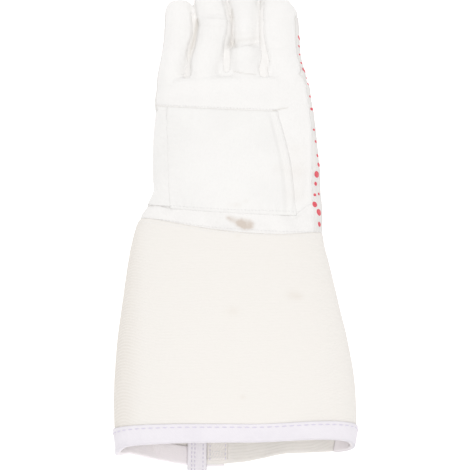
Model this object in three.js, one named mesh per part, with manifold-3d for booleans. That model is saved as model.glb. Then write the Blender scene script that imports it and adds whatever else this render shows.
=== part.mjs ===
// Fencing glove for the left hand, with a long gauntlet, lying palm down.
// Millimetres. +X is the thumb side, +Y points to the fingertips, +Z is the back of the hand.
// It is built with x = 0 on the middle of the glove, y = 0 at the wrist seam and z = 0 on the
// surface that it lies on. The group is then moved so that the middle of its base is the origin.

import * as THREE from 'three';
import { mergeVertices } from 'three/addons/utils/BufferGeometryUtils.js';
import Module from 'manifold-3d';

const wasm = await Module();
wasm.setup();

// Lengths along the glove
const CUFF_LENGTH = 154;      // wrist seam to hem
const HAND_LENGTH = 128;      // wrist seam to the crotches of the fingers
const LITTLE_LENGTH = 78.5;   // crotch to tip
const RING_LENGTH = 96.5;
const MIDDLE_LENGTH = 99.5;
const INDEX_LENGTH = 86;
const THUMB_LENGTH = 70;      // thumb seam to tip
const THUMB_SEAM = 50;        // wrist seam to thumb seam
const SEAM_LAP = 8;           // how far the hand reaches into the cuff

// Widths
const CUFF_WIDTH = 169;
const WRIST_WIDTH = 138;
const WRIST_SHIFT = 4.9;      // the wrist's middle lies this far to the little-finger side
const HAND_WIDTH = 122;
const LITTLE_WIDTH = 22.8;
const RING_WIDTH = 27;
const MIDDLE_WIDTH = 24;
const INDEX_WIDTH = 30.6;
const THUMB_WIDTH = 31;

// Heights above the surface
const CUFF_HEIGHT = 55;
const WRIST_HEIGHT = 45.5;
const HAND_HEIGHT = 45;
const KNUCKLE_HEIGHT = 44;
const THUMB_HEIGHT = 20;

// Walls, tapes and clearances
const LEATHER = 2;
const CLOTH = 1.8;
const PAD = 3;
const SIDE_PAD = 2.5;
const TAPE = 1;
const BINDING_WIDTH = 11.5;
const GAP = 0.3;
const LAP_GAP = 0.5;
const FOURCHETTE_WIDTH = 11;

// Slit on the palm side of the cuff
const OUTER_FLAP_END = -8;    // free edge of the flap that lies outside
const INNER_FLAP_END = -33;   // free edge of the flap that lies inside
const TAB_LENGTH = 6;         // slit tape past the hem
const SLIT_TAPE_WIDTH = 13;
const FACING_WIDTH = 14.5;
const FLAP_RAMP = 14;         // run over which the inner flap climbs onto the outer one
const FLAP_LEAD = 4;          // the climb begins this far before the ramp's length from the edge
const SLIT_MARGIN = 4;        // the palm is cut this far past the flaps, so that they pass it
const WRAP_INSET = 7.5;       // palm leather wrapped over the thumb side, at its widest
const UNDER_WRAP = 10;        // it reaches this much further in, under the hand

const ROUNDNESS = 2.3;        // exponent of the superellipse sections
const BODY_SIDES = 30;
const FINGER_SIDES = 12;

// Small helpers

const clamp = (value, low, high) => Math.min(Math.max(value, low), high);
const mix = (a, b, share) => a + (b - a) * share;
const pick = (list, share) => list[Math.round(share * (list.length - 1))];

function ease(from, to, value) {
  const share = clamp((value - from) / (to - from), 0, 1);
  return share * share * (3 - 2 * share);
}

// Smooth curve through one column of a table whose rows rise in the column `along`.
function read(rows, column, along) {
  const last = rows.length - 1;
  if (along <= rows[0].along) return rows[0][column];
  if (along >= rows[last].along) return rows[last][column];
  let i = 0;
  while (along > rows[i + 1].along) i += 1;
  const slope = (k) => {
    const a = rows[Math.max(k - 1, 0)];
    const b = rows[Math.min(k + 1, last)];
    return (b[column] - a[column]) / (b.along - a.along);
  };
  const span = rows[i + 1].along - rows[i].along;
  const t = (along - rows[i].along) / span;
  const start = rows[i][column];
  const end = rows[i + 1][column];
  return start * (1 + 2 * t) * (1 - t) ** 2 + end * t * t * (3 - 2 * t)
    + span * (slope(i) * t * (1 - t) ** 2 - slope(i + 1) * t * t * (1 - t));
}

function readRow(rows, along) {
  const row = {};
  for (const column of Object.keys(rows[0])) row[column] = read(rows, column, along);
  return row;
}

// Sections of the cuff. `along` is a share of its length from the wrist seam, the flares are
// shares of the way from the wrist's half width to the cuff's, `rise` of the way from the
// wrist's height to the cuff's, and the undersides are shares of the section's own height.
// An underside below zero is pressed flat where the cuff lies.
const CUFF_ROWS = [
  { along: 1.00, flareLeft: 0.69, flareRight: 0.86, rise: 1.00, underLeft: -0.11, underRight: 0.10 },
  { along: 0.92, flareLeft: 0.89, flareRight: 0.97, rise: 0.98, underLeft: -0.11, underRight: 0.10 },
  { along: 0.81, flareLeft: 1.00, flareRight: 1.00, rise: 0.93, underLeft: -0.11, underRight: 0.08 },
  { along: 0.67, flareLeft: 1.00, flareRight: 0.95, rise: 0.84, underLeft: -0.10, underRight: 0.06 },
  { along: 0.48, flareLeft: 0.87, flareRight: 0.74, rise: 0.65, underLeft: -0.10, underRight: 0.03 },
  { along: 0.29, flareLeft: 0.60, flareRight: 0.45, rise: 0.38, underLeft: -0.09, underRight: 0.00 },
  { along: 0.14, flareLeft: 0.35, flareRight: 0.22, rise: 0.15, underLeft: -0.08, underRight: -0.03 },
];
const CUFF_SIDE = 0.49;       // height of the cuff's widest line, as a share of the section's

// Sections of the hand. `along` is a share of its length from the wrist seam. The half widths
// are shares of half the hand's width, widened by `flare` of the way to the wrist's half
// width. `top` is a share of the hand's height.
const HAND_ROWS = [
  { along: 0.00, left: 1.00, right: 1.05, flare: 1.00, top: 1.01 },
  { along: 0.14, left: 1.00, right: 1.05, flare: 0.65, top: 0.99 },
  { along: 0.22, left: 0.98, right: 1.05, flare: 0.28, top: 0.98 },
  { along: 0.31, left: 0.95, right: 1.04, flare: 0.00, top: 0.98 },
  { along: 0.40, left: 0.96, right: 1.04, flare: 0.00, top: 0.99 },
  { along: 0.47, left: 0.97, right: 1.03, flare: 0.00, top: 1.00 },
  { along: 0.63, left: 0.97, right: 1.00, flare: 0.00, top: 1.00 },
  { along: 0.80, left: 0.97, right: 0.96, flare: 0.00, top: 1.00 },
  { along: 0.87, left: 1.00, right: 0.94, flare: 0.00, top: 1.02 },
  { along: 0.95, left: 0.98, right: 0.92, flare: 0.00, top: 0.99 },
  { along: 0.985, left: 0.94, right: 0.88, flare: 0.00, top: 0.90 },
  { along: 1.005, left: 0.86, right: 0.80, flare: 0.00, top: 0.80 },
];

// Heights of the hand's sides and underside along it, as shares of the hand's height. The
// thumb lies under the thumb side, which is why that side is raised.
const HAND_UNDER_ROWS = [
  { along: 0.00, sideLeft: 0.49, sideRight: 0.50, underLeft: -0.07, underRight: -0.07 },
  { along: 0.14, sideLeft: 0.48, sideRight: 0.50, underLeft: -0.07, underRight: -0.06 },
  { along: 0.22, sideLeft: 0.47, sideRight: 0.52, underLeft: -0.07, underRight: -0.02 },
  { along: 0.31, sideLeft: 0.46, sideRight: 0.57, underLeft: -0.07, underRight: 0.18 },
  { along: 0.40, sideLeft: 0.45, sideRight: 0.64, underLeft: -0.07, underRight: 0.38 },
  { along: 0.47, sideLeft: 0.45, sideRight: 0.68, underLeft: -0.07, underRight: 0.47 },
  { along: 0.80, sideLeft: 0.45, sideRight: 0.69, underLeft: -0.06, underRight: 0.47 },
  { along: 0.95, sideLeft: 0.46, sideRight: 0.68, underLeft: 0.02, underRight: 0.45 },
  { along: 1.005, sideLeft: 0.50, sideRight: 0.64, underLeft: 0.16, underRight: 0.46 },
];

// Fingers and thumb. `along` is a share of the finger's length from the crotch, `lean` its
// sideways shift and `width` its width as shares of its own width, and `top` and `bottom`
// are shares of the knuckle's height (of the thumb's own height for the thumb).
const LITTLE_ROWS = [
  { along: -0.20, lean: 0.00, width: 0.86, top: 0.80, bottom: 0.06 },
  { along: 0.00, lean: 0.00, width: 0.97, top: 0.82, bottom: 0.05 },
  { along: 0.25, lean: 0.09, width: 0.95, top: 0.74, bottom: 0.03 },
  { along: 0.47, lean: 0.17, width: 0.99, top: 0.62, bottom: 0.00 },
  { along: 0.69, lean: 0.23, width: 1.00, top: 0.50, bottom: 0.00 },
  { along: 0.87, lean: 0.22, width: 0.90, top: 0.43, bottom: 0.00 },
  { along: 0.96, lean: 0.22, width: 0.65, top: 0.37, bottom: 0.03 },
  { along: 1.00, lean: 0.21, width: 0.24, top: 0.28, bottom: 0.12 },
];
const RING_ROWS = [
  { along: -0.17, lean: 0.00, width: 0.85, top: 0.93, bottom: 0.16 },
  { along: 0.00, lean: 0.00, width: 0.99, top: 0.95, bottom: 0.18 },
  { along: 0.20, lean: 0.10, width: 0.96, top: 0.86, bottom: 0.20 },
  { along: 0.38, lean: 0.26, width: 0.91, top: 0.76, bottom: 0.12 },
  { along: 0.52, lean: 0.27, width: 0.94, top: 0.70, bottom: 0.05 },
  { along: 0.58, lean: 0.26, width: 0.93, top: 0.60, bottom: 0.02 },
  { along: 0.75, lean: 0.24, width: 0.93, top: 0.52, bottom: 0.00 },
  { along: 0.88, lean: 0.24, width: 0.85, top: 0.45, bottom: 0.00 },
  { along: 0.96, lean: 0.23, width: 0.58, top: 0.38, bottom: 0.03 },
  { along: 1.00, lean: 0.23, width: 0.20, top: 0.28, bottom: 0.12 },
];
const MIDDLE_ROWS = [
  { along: -0.16, lean: 0.00, width: 0.88, top: 0.95, bottom: 0.50 },
  { along: 0.00, lean: 0.00, width: 1.04, top: 0.97, bottom: 0.42 },
  { along: 0.15, lean: 0.02, width: 1.02, top: 0.90, bottom: 0.30 },
  { along: 0.24, lean: 0.02, width: 1.00, top: 0.86, bottom: 0.22 },
  { along: 0.31, lean: 0.02, width: 0.88, top: 0.68, bottom: 0.17 },
  { along: 0.42, lean: 0.02, width: 0.82, top: 0.63, bottom: 0.10 },
  { along: 0.62, lean: 0.02, width: 0.82, top: 0.55, bottom: 0.02 },
  { along: 0.80, lean: 0.02, width: 0.82, top: 0.48, bottom: 0.00 },
  { along: 0.90, lean: 0.02, width: 0.75, top: 0.43, bottom: 0.00 },
  { along: 0.97, lean: 0.02, width: 0.50, top: 0.36, bottom: 0.04 },
  { along: 1.00, lean: 0.02, width: 0.20, top: 0.28, bottom: 0.12 },
];
const INDEX_ROWS = [
  { along: -0.18, lean: -0.03, width: 0.85, top: 0.90, bottom: 0.50 },
  { along: 0.00, lean: 0.00, width: 1.00, top: 0.93, bottom: 0.43 },
  { along: 0.22, lean: -0.10, width: 0.97, top: 0.83, bottom: 0.28 },
  { along: 0.43, lean: -0.15, width: 0.97, top: 0.73, bottom: 0.16 },
  { along: 0.60, lean: -0.17, width: 0.97, top: 0.65, bottom: 0.06 },
  { along: 0.78, lean: -0.21, width: 0.94, top: 0.56, bottom: 0.00 },
  { along: 0.87, lean: -0.26, width: 0.86, top: 0.51, bottom: 0.00 },
  { along: 0.93, lean: -0.31, width: 0.70, top: 0.45, bottom: 0.01 },
  { along: 0.975, lean: -0.34, width: 0.46, top: 0.37, bottom: 0.04 },
  { along: 1.00, lean: -0.35, width: 0.18, top: 0.28, bottom: 0.12 },
];
const THUMB_ROWS = [
  { along: -0.40, lean: -0.08, width: 0.94, top: 1.02, bottom: 0.00 },
  { along: -0.10, lean: 0.00, width: 1.05, top: 1.00, bottom: 0.00 },
  { along: 0.17, lean: -0.02, width: 1.00, top: 0.95, bottom: 0.00 },
  { along: 0.45, lean: -0.20, width: 0.94, top: 0.93, bottom: 0.00 },
  { along: 0.72, lean: -0.44, width: 0.86, top: 0.88, bottom: 0.00 },
  { along: 0.88, lean: -0.60, width: 0.73, top: 0.80, bottom: 0.00 },
  { along: 0.965, lean: -0.68, width: 0.48, top: 0.68, bottom: 0.05 },
  { along: 1.00, lean: -0.71, width: 0.18, top: 0.52, bottom: 0.20 },
];

// Each finger: where its root stands (`place` is a share of half the hand's width) and its sizes.
const FINGERS = [
  { name: 'little', place: -0.795, length: LITTLE_LENGTH, width: LITTLE_WIDTH, rows: LITTLE_ROWS },
  { name: 'ring', place: -0.377, length: RING_LENGTH, width: RING_WIDTH, rows: RING_ROWS },
  { name: 'middle', place: 0.123, length: MIDDLE_LENGTH, width: MIDDLE_WIDTH, rows: MIDDLE_ROWS },
  { name: 'index', place: 0.647, length: INDEX_LENGTH, width: INDEX_WIDTH, rows: INDEX_ROWS },
];
for (const finger of FINGERS) {
  finger.root = HAND_LENGTH;
  finger.height = KNUCKLE_HEIGHT;
}
const THUMB = {
  name: 'thumb', place: 0.745, length: THUMB_LENGTH, width: THUMB_WIDTH, rows: THUMB_ROWS,
  root: THUMB_SEAM, height: THUMB_HEIGHT,
};

// Sections

const wristLeft = WRIST_WIDTH / 2 + WRIST_SHIFT;
const wristRight = WRIST_WIDTH / 2 - WRIST_SHIFT;

// Where the raised part of the underside begins and ends, as shares of the width from the left.
const CUFF_RAMP = { from: 0.48, to: 0.75 };
const HAND_RAMP = { from: 0.27, to: 0.53 };

const bodyRows = [];
for (const row of CUFF_ROWS) {
  const height = mix(WRIST_HEIGHT, CUFF_HEIGHT, row.rise);
  bodyRows.push({
    along: -row.along * CUFF_LENGTH,
    left: -mix(wristLeft, CUFF_WIDTH / 2, row.flareLeft),
    right: mix(wristRight, CUFF_WIDTH / 2, row.flareRight),
    top: height,
    sideLeft: CUFF_SIDE * height,
    sideRight: CUFF_SIDE * height,
    underLeft: row.underLeft * height,
    underRight: row.underRight * height,
    rampFrom: CUFF_RAMP.from,
    rampTo: CUFF_RAMP.to,
  });
}
for (const row of HAND_ROWS) {
  const under = readRow(HAND_UNDER_ROWS, row.along);
  const left = row.left * HAND_WIDTH / 2;
  const right = row.right * HAND_WIDTH / 2;
  bodyRows.push({
    along: row.along * HAND_LENGTH,
    left: -mix(left, wristLeft, row.flare),
    right: mix(right, wristRight, row.flare),
    top: row.top * HAND_HEIGHT,
    sideLeft: under.sideLeft * HAND_HEIGHT,
    sideRight: under.sideRight * HAND_HEIGHT,
    underLeft: under.underLeft * HAND_HEIGHT,
    underRight: under.underRight * HAND_HEIGHT,
    rampFrom: HAND_RAMP.from,
    rampTo: HAND_RAMP.to,
  });
}
const frontY = HAND_ROWS[HAND_ROWS.length - 1].along * HAND_LENGTH;

function fingerSection(finger, along) {
  const row = readRow(finger.rows, along);
  const middle = finger.place * HAND_WIDTH / 2 + row.lean * finger.width;
  const half = row.width * finger.width / 2;
  const top = row.top * finger.height;
  const bottom = row.bottom * finger.height;
  const side = (top + bottom) / 2;
  return {
    left: middle - half, right: middle + half, top,
    sideLeft: side, sideRight: side, underLeft: bottom, underRight: bottom, rampFrom: 0, rampTo: 1,
  };
}

// A point of a section. `angle` runs round it from the thumb side over the top. `offset` grows
// or shrinks it, and nothing reaches below `ground` less that offset.
function sectionPoint(section, angle, offset, ground = 0) {
  const across = Math.cos(angle);
  const up = Math.sin(angle);
  const reach = Math.sign(across) * Math.abs(across) ** (2 / ROUNDNESS);
  const swell = Math.abs(up) ** (2 / ROUNDNESS);
  const middle = (section.left + section.right) / 2;
  const half = (section.right - section.left) / 2;
  const share = (1 + reach) / 2;
  const side = mix(section.sideLeft, section.sideRight, share);
  const x = middle + (half + offset) * reach;
  let z = side + (section.top + offset - side) * swell;
  if (up < 0) {
    const ramp = ease(section.rampFrom, section.rampTo, share);
    const under = mix(section.underLeft, section.underRight, ramp) - offset;
    z = side - (side - under) * swell;
  }
  return { x, z: Math.max(z, ground - offset) };
}

// The angle at which a section's top or underside crosses x.
function angleAt(section, x, isTop) {
  const middle = (section.left + section.right) / 2;
  const half = (section.right - section.left) / 2;
  const reach = clamp((x - middle) / half, -1, 1);
  const angle = Math.acos(Math.sign(reach) * Math.abs(reach) ** (ROUNDNESS / 2));
  return isTop ? angle : -angle;
}

// Seam lines, as y over x

const SEAM_LOW_X = 25;        // the wrist seam is nearest to the hem here
const SEAM_LOW_Y = -1.4;
const SEAM_BOW_LEFT = 0.002;
const SEAM_BOW_RIGHT = 0.0045;

function seamY(x) {
  const bow = x < SEAM_LOW_X ? SEAM_BOW_LEFT : SEAM_BOW_RIGHT;
  return SEAM_LOW_Y + bow * (x - SEAM_LOW_X) ** 2;
}

const HEM_TOP_DIP = 1.3;      // the hem's top edge reaches this far past the cuff's length
const HEM_SIDE_RISE = 4;      // and falls back by this much on the thumb side
const FLAP_DIP = 7.7;         // the flaps reach this far past it at the slit

function hemY(x, isTop) {
  if (isTop) return -CUFF_LENGTH - HEM_TOP_DIP + HEM_SIDE_RISE * ease(0.1, 0.9, 2 * x / CUFF_WIDTH);
  const fromRight = ease(0.48, -0.18, 2 * x / CUFF_WIDTH);
  const fromLeft = ease(-0.95, -0.22, 2 * x / CUFF_WIDTH);
  return -CUFF_LENGTH - FLAP_DIP * fromRight * fromLeft;
}

// Meshes

// Joins rings of points, each a closed loop of the same count, into one closed mesh. The caps
// are flat polygons, cut into triangles in their own plane by `plan`, which gives 2-D points.
function loft(rings, plan) {
  const count = rings[0].length;
  const index = [];
  for (let r = 0; r + 1 < rings.length; r += 1) {
    for (let k = 0; k < count; k += 1) {
      const a = r * count + k;
      const b = r * count + (k + 1) % count;
      index.push(a, b, b + count, a, b + count, a + count);
    }
  }
  const last = (rings.length - 1) * count;
  const loop = plan.map((point) => new THREE.Vector2(point[0], point[1]));
  const turned = THREE.ShapeUtils.isClockWise(loop);
  for (const [a, b, c] of THREE.ShapeUtils.triangulateShape(turned ? [...loop].reverse() : loop, [])) {
    const [p, q, r] = turned ? [count - 1 - a, count - 1 - c, count - 1 - b] : [a, b, c];
    index.push(p, r, q, last + p, last + q, last + r);
  }
  return meshOf(rings.flat(), index);
}

function meshOf(points, index) {
  const geometry = new THREE.BufferGeometry();
  const positions = [];
  for (const point of points) positions.push(point.x, point.y, point.z);
  geometry.setAttribute('position', new THREE.Float32BufferAttribute(positions, 3));
  geometry.setIndex(index);
  return facingOut(geometry);
}

// Turns the faces round if the enclosed volume comes out negative.
function facingOut(geometry) {
  const index = geometry.index.array;
  const position = geometry.attributes.position;
  const corner = (i) => new THREE.Vector3().fromBufferAttribute(position, index[i]);
  let volume = 0;
  for (let i = 0; i < index.length; i += 3) volume += corner(i).dot(corner(i + 1).cross(corner(i + 2)));
  if (volume < 0) {
    for (let i = 0; i < index.length; i += 3) [index[i], index[i + 1]] = [index[i + 1], index[i]];
  }
  return geometry;
}

// The plain round plan that a section's cap is cut in.
function circlePlan(sides) {
  const plan = [];
  for (let k = 0; k < sides; k += 1) {
    const angle = 2 * Math.PI * k / sides;
    plan.push([Math.cos(angle), Math.sin(angle)]);
  }
  return plan;
}

// A closed loft through sections across Y.
function sectionLoft(stations, sides, offset) {
  const rings = stations.map(({ y, section }) => {
    const ring = [];
    for (let k = 0; k < sides; k += 1) {
      const point = sectionPoint(section, 2 * Math.PI * k / sides, offset);
      ring.push(new THREE.Vector3(point.x, y, point.z));
    }
    return ring;
  });
  return loft(rings, circlePlan(sides));
}

// A closed slab between two skins: `skin(i, j, side)` gives a point for side 0 and side 1.
function slab(columns, rows, skin) {
  const points = [];
  for (let side = 0; side < 2; side += 1) {
    for (let j = 0; j <= rows; j += 1) {
      for (let i = 0; i <= columns; i += 1) points.push(skin(i / columns, j / rows, side));
    }
  }
  const at = (i, j, side) => side * (rows + 1) * (columns + 1) + j * (columns + 1) + i;
  const index = [];
  const quad = (a, b, c, d) => index.push(a, b, c, a, c, d);
  for (let j = 0; j < rows; j += 1) {
    for (let i = 0; i < columns; i += 1) {
      quad(at(i, j, 0), at(i + 1, j, 0), at(i + 1, j + 1, 0), at(i, j + 1, 0));
      quad(at(i, j, 1), at(i, j + 1, 1), at(i + 1, j + 1, 1), at(i + 1, j, 1));
    }
  }
  for (let i = 0; i < columns; i += 1) {
    quad(at(i, 0, 0), at(i, 0, 1), at(i + 1, 0, 1), at(i + 1, 0, 0));
    quad(at(i, rows, 0), at(i + 1, rows, 0), at(i + 1, rows, 1), at(i, rows, 1));
  }
  for (let j = 0; j < rows; j += 1) {
    quad(at(0, j, 0), at(0, j + 1, 0), at(0, j + 1, 1), at(0, j, 1));
    quad(at(columns, j, 0), at(columns, j, 1), at(columns, j + 1, 1), at(columns, j + 1, 0));
  }
  return meshOf(points, index);
}

// Solids that are joined and cut

function solid(geometry) {
  const bare = geometry.clone();
  bare.deleteAttribute('normal');
  bare.deleteAttribute('uv');
  const merged = mergeVertices(bare, 1e-4);
  return new wasm.Manifold(new wasm.Mesh({
    numProp: 3,
    vertProperties: new Float32Array(merged.attributes.position.array),
    triVerts: new Uint32Array(merged.index.array),
  }));
}

function geometryOf(manifold) {
  const mesh = manifold.getMesh();
  const geometry = new THREE.BufferGeometry();
  geometry.setAttribute('position', new THREE.Float32BufferAttribute(mesh.vertProperties, 3));
  geometry.setIndex(Array.from(mesh.triVerts));
  return geometry;
}

const FAR = 400;              // past everything

// A prism over an outline of [x, y] points, from z = low to z = high.
function upright(outline, low = -FAR, high = FAR) {
  const shape = new THREE.Shape(outline.map(([x, y]) => new THREE.Vector2(x, y)));
  const geometry = new THREE.ExtrudeGeometry(shape, { depth: high - low, bevelEnabled: false });
  return solid(geometry.translate(0, 0, low));
}

// A prism over an outline of [y, z] points, from x = low to x = high.
function crosswise(outline, low = -FAR, high = FAR) {
  const shape = new THREE.Shape(outline.map(([y, z]) => new THREE.Vector2(y, z)));
  const geometry = new THREE.ExtrudeGeometry(shape, { depth: high - low, bevelEnabled: false });
  const turn = new THREE.Matrix4().makeBasis(
    new THREE.Vector3(0, 1, 0), new THREE.Vector3(0, 0, 1), new THREE.Vector3(1, 0, 0));
  return solid(geometry.applyMatrix4(turn).translate(low, 0, 0));
}

// Hand, fingers and thumb

// Distances of the hand's rows from the wrist seam, as shares of the hand's length. The rows
// follow the seam's bow at the wrist and run straight across from `SEAM_FADE` on.
const HAND_STATIONS = [0.14, 0.23, 0.31, 0.39, 0.48, 0.64, 0.80, 0.87, 0.95, 0.985, 1.005];
const SEAM_FADE = 0.5;
const FRONT_FADE = 0.8;       // the front wall's thickness is taken off the rows from here on
const LAP_RISE = 6.5;         // the leather swells back to full size over this run

// Inside the cuff the hand is smaller, by the cloth and a clearance.
const lapOffset = (from) => -(CLOTH + LAP_GAP) * (1 - ease(GAP, LAP_RISE, from));

function palmLoft(wall) {
  const inSeam = wall > 0 ? 2 * SEAM_LAP : SEAM_LAP;
  const stations = HAND_STATIONS.map((share) => share * HAND_LENGTH);
  const distances = [-inSeam, GAP, LAP_RISE / 2, LAP_RISE, ...stations];
  const rings = distances.map((distance) => {
    const back = wall * ease(FRONT_FADE * HAND_LENGTH, frontY, distance);
    const bow = 1 - ease(0, SEAM_FADE * HAND_LENGTH, distance);
    const ring = [];
    for (let k = 0; k < BODY_SIDES; k += 1) {
      const angle = 2 * Math.PI * k / BODY_SIDES;
      const offset = lapOffset(distance) - wall;
      let y = distance;
      let point;
      for (let pass = 0; pass < 3; pass += 1) {
        point = sectionPoint(readRow(bodyRows, y), angle, offset);
        y = distance + bow * seamY(point.x);
      }
      ring.push(new THREE.Vector3(point.x, y - back, point.z));
    }
    return ring;
  });
  return loft(rings, circlePlan(BODY_SIDES));
}

function fingerLoft(finger, wall) {
  const stations = finger.rows.map((row) => {
    const length = finger.length - (row.along > 0 ? wall : 0);
    const section = fingerSection(finger, row.along);
    return { y: finger.root + row.along * length, section };
  });
  return sectionLoft(stations, FINGER_SIDES, -wall);
}

function handForm(wall) {
  let form = solid(palmLoft(wall));
  for (const finger of [...FINGERS, THUMB]) form = form.add(solid(fingerLoft(finger, wall)));
  return form;
}

// The height of the side seam between the back and the palm, along the hand and fingers.
const SIDE_SEAM = [
  { along: -0.20, height: 0.50 },
  { along: 0.15, height: 0.52 },
  { along: 0.45, height: 0.59 },
  { along: 1.00, height: 0.61 },
  { along: 1.15, height: 0.52 },
  { along: 1.29, height: 0.42 },
  { along: 1.44, height: 0.31 },
  { along: 1.60, height: 0.25 },
  { along: 1.90, height: 0.22 },
];
const sideSeamPoints = SIDE_SEAM.map((row) => [row.along * HAND_LENGTH, row.height * KNUCKLE_HEIGHT]);

function belowSideSeam(shift) {
  const line = sideSeamPoints.map(([y, z]) => [y, z + shift]);
  const first = line[0][1];
  const last = line[line.length - 1][1];
  return crosswise([[-FAR, -FAR], [FAR, -FAR], [FAR, last], ...line.reverse(), [-FAR, first]]);
}

// How far the palm leather wraps over the thumb side, measured in from the outline, as shares
// of its widest inset. Below that side's edge it reaches further in, under the hand.
const WRAP = [
  { along: -0.20, inset: 1.00 },
  { along: 0.20, inset: 0.90 },
  { along: 0.45, inset: 0.80 },
  { along: 0.65, inset: 0.45 },
  { along: 1.00, inset: 0.35 },
];

function underWrap(grow) {
  const edge = WRAP.map((row) => {
    const y = row.along * HAND_LENGTH;
    return [readRow(bodyRows, y).right - row.inset * WRAP_INSET - UNDER_WRAP - grow, y];
  });
  const side = readRow(bodyRows, FRONT_FADE * HAND_LENGTH).sideRight;
  return upright([...edge, [CUFF_WIDTH, HAND_LENGTH], [CUFF_WIDTH, edge[0][1]]], -FAR, side + grow);
}

function wrapOutline(grow) {
  const outline = [];
  for (const row of WRAP) {
    const y = row.along * HAND_LENGTH;
    outline.push([readRow(bodyRows, y).right - row.inset * WRAP_INSET - grow, y]);
  }
  const index = FINGERS[3];
  const fingerInset = WRAP[WRAP.length - 1].inset * WRAP_INSET;
  for (const along of [0.2, 0.45, 0.7, 0.86]) {
    const edge = fingerSection(index, along).right;
    outline.push([edge - fingerInset - grow, HAND_LENGTH + along * index.length]);
  }
  const [endX, endY] = outline[outline.length - 1];
  outline.push([endX + INDEX_WIDTH, endY + grow], [CUFF_WIDTH, endY + grow], [CUFF_WIDTH, outline[0][1]]);
  return outline;
}

const STRIP_END = 14;         // the strips stop this far short of the fingertips

// The strip between two fingers: a band along the side seam, between their middle lines.
function fourchetteForm(left, right, grow) {
  const line = (finger, shift) => {
    const points = [];
    const end = 1 - STRIP_END / finger.length;
    for (const along of [-0.06, 0.15, 0.3, 0.45, 0.6, 0.75, end]) {
      const section = fingerSection(finger, along);
      points.push([(section.left + section.right) / 2 + shift, finger.root + along * finger.length]);
    }
    points[0][1] -= grow;
    points[points.length - 1][1] += grow;
    return points;
  };
  const plan = upright([...line(left, -grow), ...line(right, grow).reverse()]);
  const reach = FOURCHETTE_WIDTH / 2 + grow;
  return plan.intersect(belowSideSeam(reach)).subtract(belowSideSeam(-reach));
}

// The thumb's own part of the shell: below the palm and past the thumb seam.
const THUMB_ROOM = 0.4;       // height of the cut above the thumb's top
const THUMB_MARGIN = 1.5;     // width of the cut beside the thumb
function thumbForm(grow) {
  const left = [];
  const right = [];
  for (const along of [0, 0.17, 0.45, 0.72, 0.88, 1]) {
    const section = fingerSection(THUMB, along);
    const y = THUMB.root + along * THUMB.length;
    left.push([section.left - THUMB_MARGIN - grow, y]);
    right.push([section.right + THUMB_MARGIN + grow, y]);
  }
  left[0][1] -= grow;
  right[0][1] -= grow;
  left[left.length - 1][1] += THUMB_MARGIN;
  right[right.length - 1][1] += THUMB_MARGIN;
  return upright([...left, ...right.reverse()], -FAR, THUMB_HEIGHT + THUMB_ROOM + grow);
}

// Top edge of the wrist band, as [x, y] from the little-finger side, shares of the hand's sizes.
const BAND_EDGE = [
  { across: -1.60, along: 0.31 },
  { across: -1.07, along: 0.235 },
  { across: -0.78, along: 0.155 },
  { across: 0.05, along: 0.11 },
  { across: 0.69, along: 0.112 },
  { across: 0.92, along: 0.19 },
  { across: 1.60, along: 0.22 },
];

function bandForm(grow) {
  const edge = BAND_EDGE.map((row) => [row.across * HAND_WIDTH / 2, row.along * HAND_LENGTH + grow]);
  return upright([[edge[0][0], -FAR], ...edge, [edge[edge.length - 1][0], -FAR]].reverse());
}

// Cuff

const stackAtHem = CLOTH + 2 * (TAPE + GAP) + GAP;
const stackAlong = CLOTH + TAPE + 2 * GAP;
const HEM_ZONE = [0.80, 0.90];

// The cloth lies on the hem tape near the hem, and on the surface elsewhere.
const clothGround = (v) => (TAPE + GAP) * ease(HEM_ZONE[0], HEM_ZONE[1], v);
const innerFlapLift = (v) => mix(stackAlong, stackAtHem, ease(HEM_ZONE[0], HEM_ZONE[1], v));

// A point of the cuff: u runs from the outer flap's edge round the little-finger side, over the
// top and back to the inner flap's edge; v runs from the wrist seam (0) to the hem (1).
function cuffPoint(u, v, offset) {
  let y = -v * CUFF_LENGTH;
  let point;
  for (let pass = 0; pass < 3; pass += 1) {
    const section = readRow(bodyRows, y);
    const from = angleAt(section, OUTER_FLAP_END, false);
    const to = angleAt(section, INNER_FLAP_END, false) - 2 * Math.PI;
    const angle = mix(from, to, u);
    point = sectionPoint(section, angle, offset, clothGround(v));
    const isTop = Math.sin(angle) >= 0;
    y = mix(seamY(point.x), hemY(point.x, isTop), v);
  }
  const climb = u > 0.5 && point.z < WRIST_HEIGHT / 3;
  const start = OUTER_FLAP_END + FLAP_RAMP + FLAP_LEAD;
  const lift = climb ? innerFlapLift(v) * ease(start, start - FLAP_RAMP, point.x) : 0;
  return new THREE.Vector3(point.x, y, point.z + lift);
}

// Columns round the cuff: coarse over most of it, fine where the inner flap climbs.
const hemEdge = 1 - BINDING_WIDTH / CUFF_LENGTH;
const SLIT_TOP = 0.09;        // the slit tape and facing start past the wrist seam's lap
const cuffRows = [0, SLIT_TOP, 0.2, 0.32, 0.44, 0.56, 0.68, ...HEM_ZONE, hemEdge, 1];
const CLIMB_START = 0.90;
const cuffColumns = [];
const WIDE_COLUMNS = 27;
const CLIMB_COLUMNS = 8;
for (let k = 0; k < WIDE_COLUMNS; k += 1) cuffColumns.push(CLIMB_START * k / WIDE_COLUMNS);
for (let k = 0; k <= CLIMB_COLUMNS; k += 1) cuffColumns.push(mix(CLIMB_START, 1, k / CLIMB_COLUMNS));

function cuffGeometry() {
  return slab(cuffColumns.length - 1, cuffRows.length - 1, (i, j, side) => cuffPoint(
    pick(cuffColumns, i), pick(cuffRows, j), side ? 0 : -CLOTH));
}

// The hem tape's end on the thumb side, just round the corner, as a share of u.
const HEM_TAPE_END = 0.81;

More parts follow.
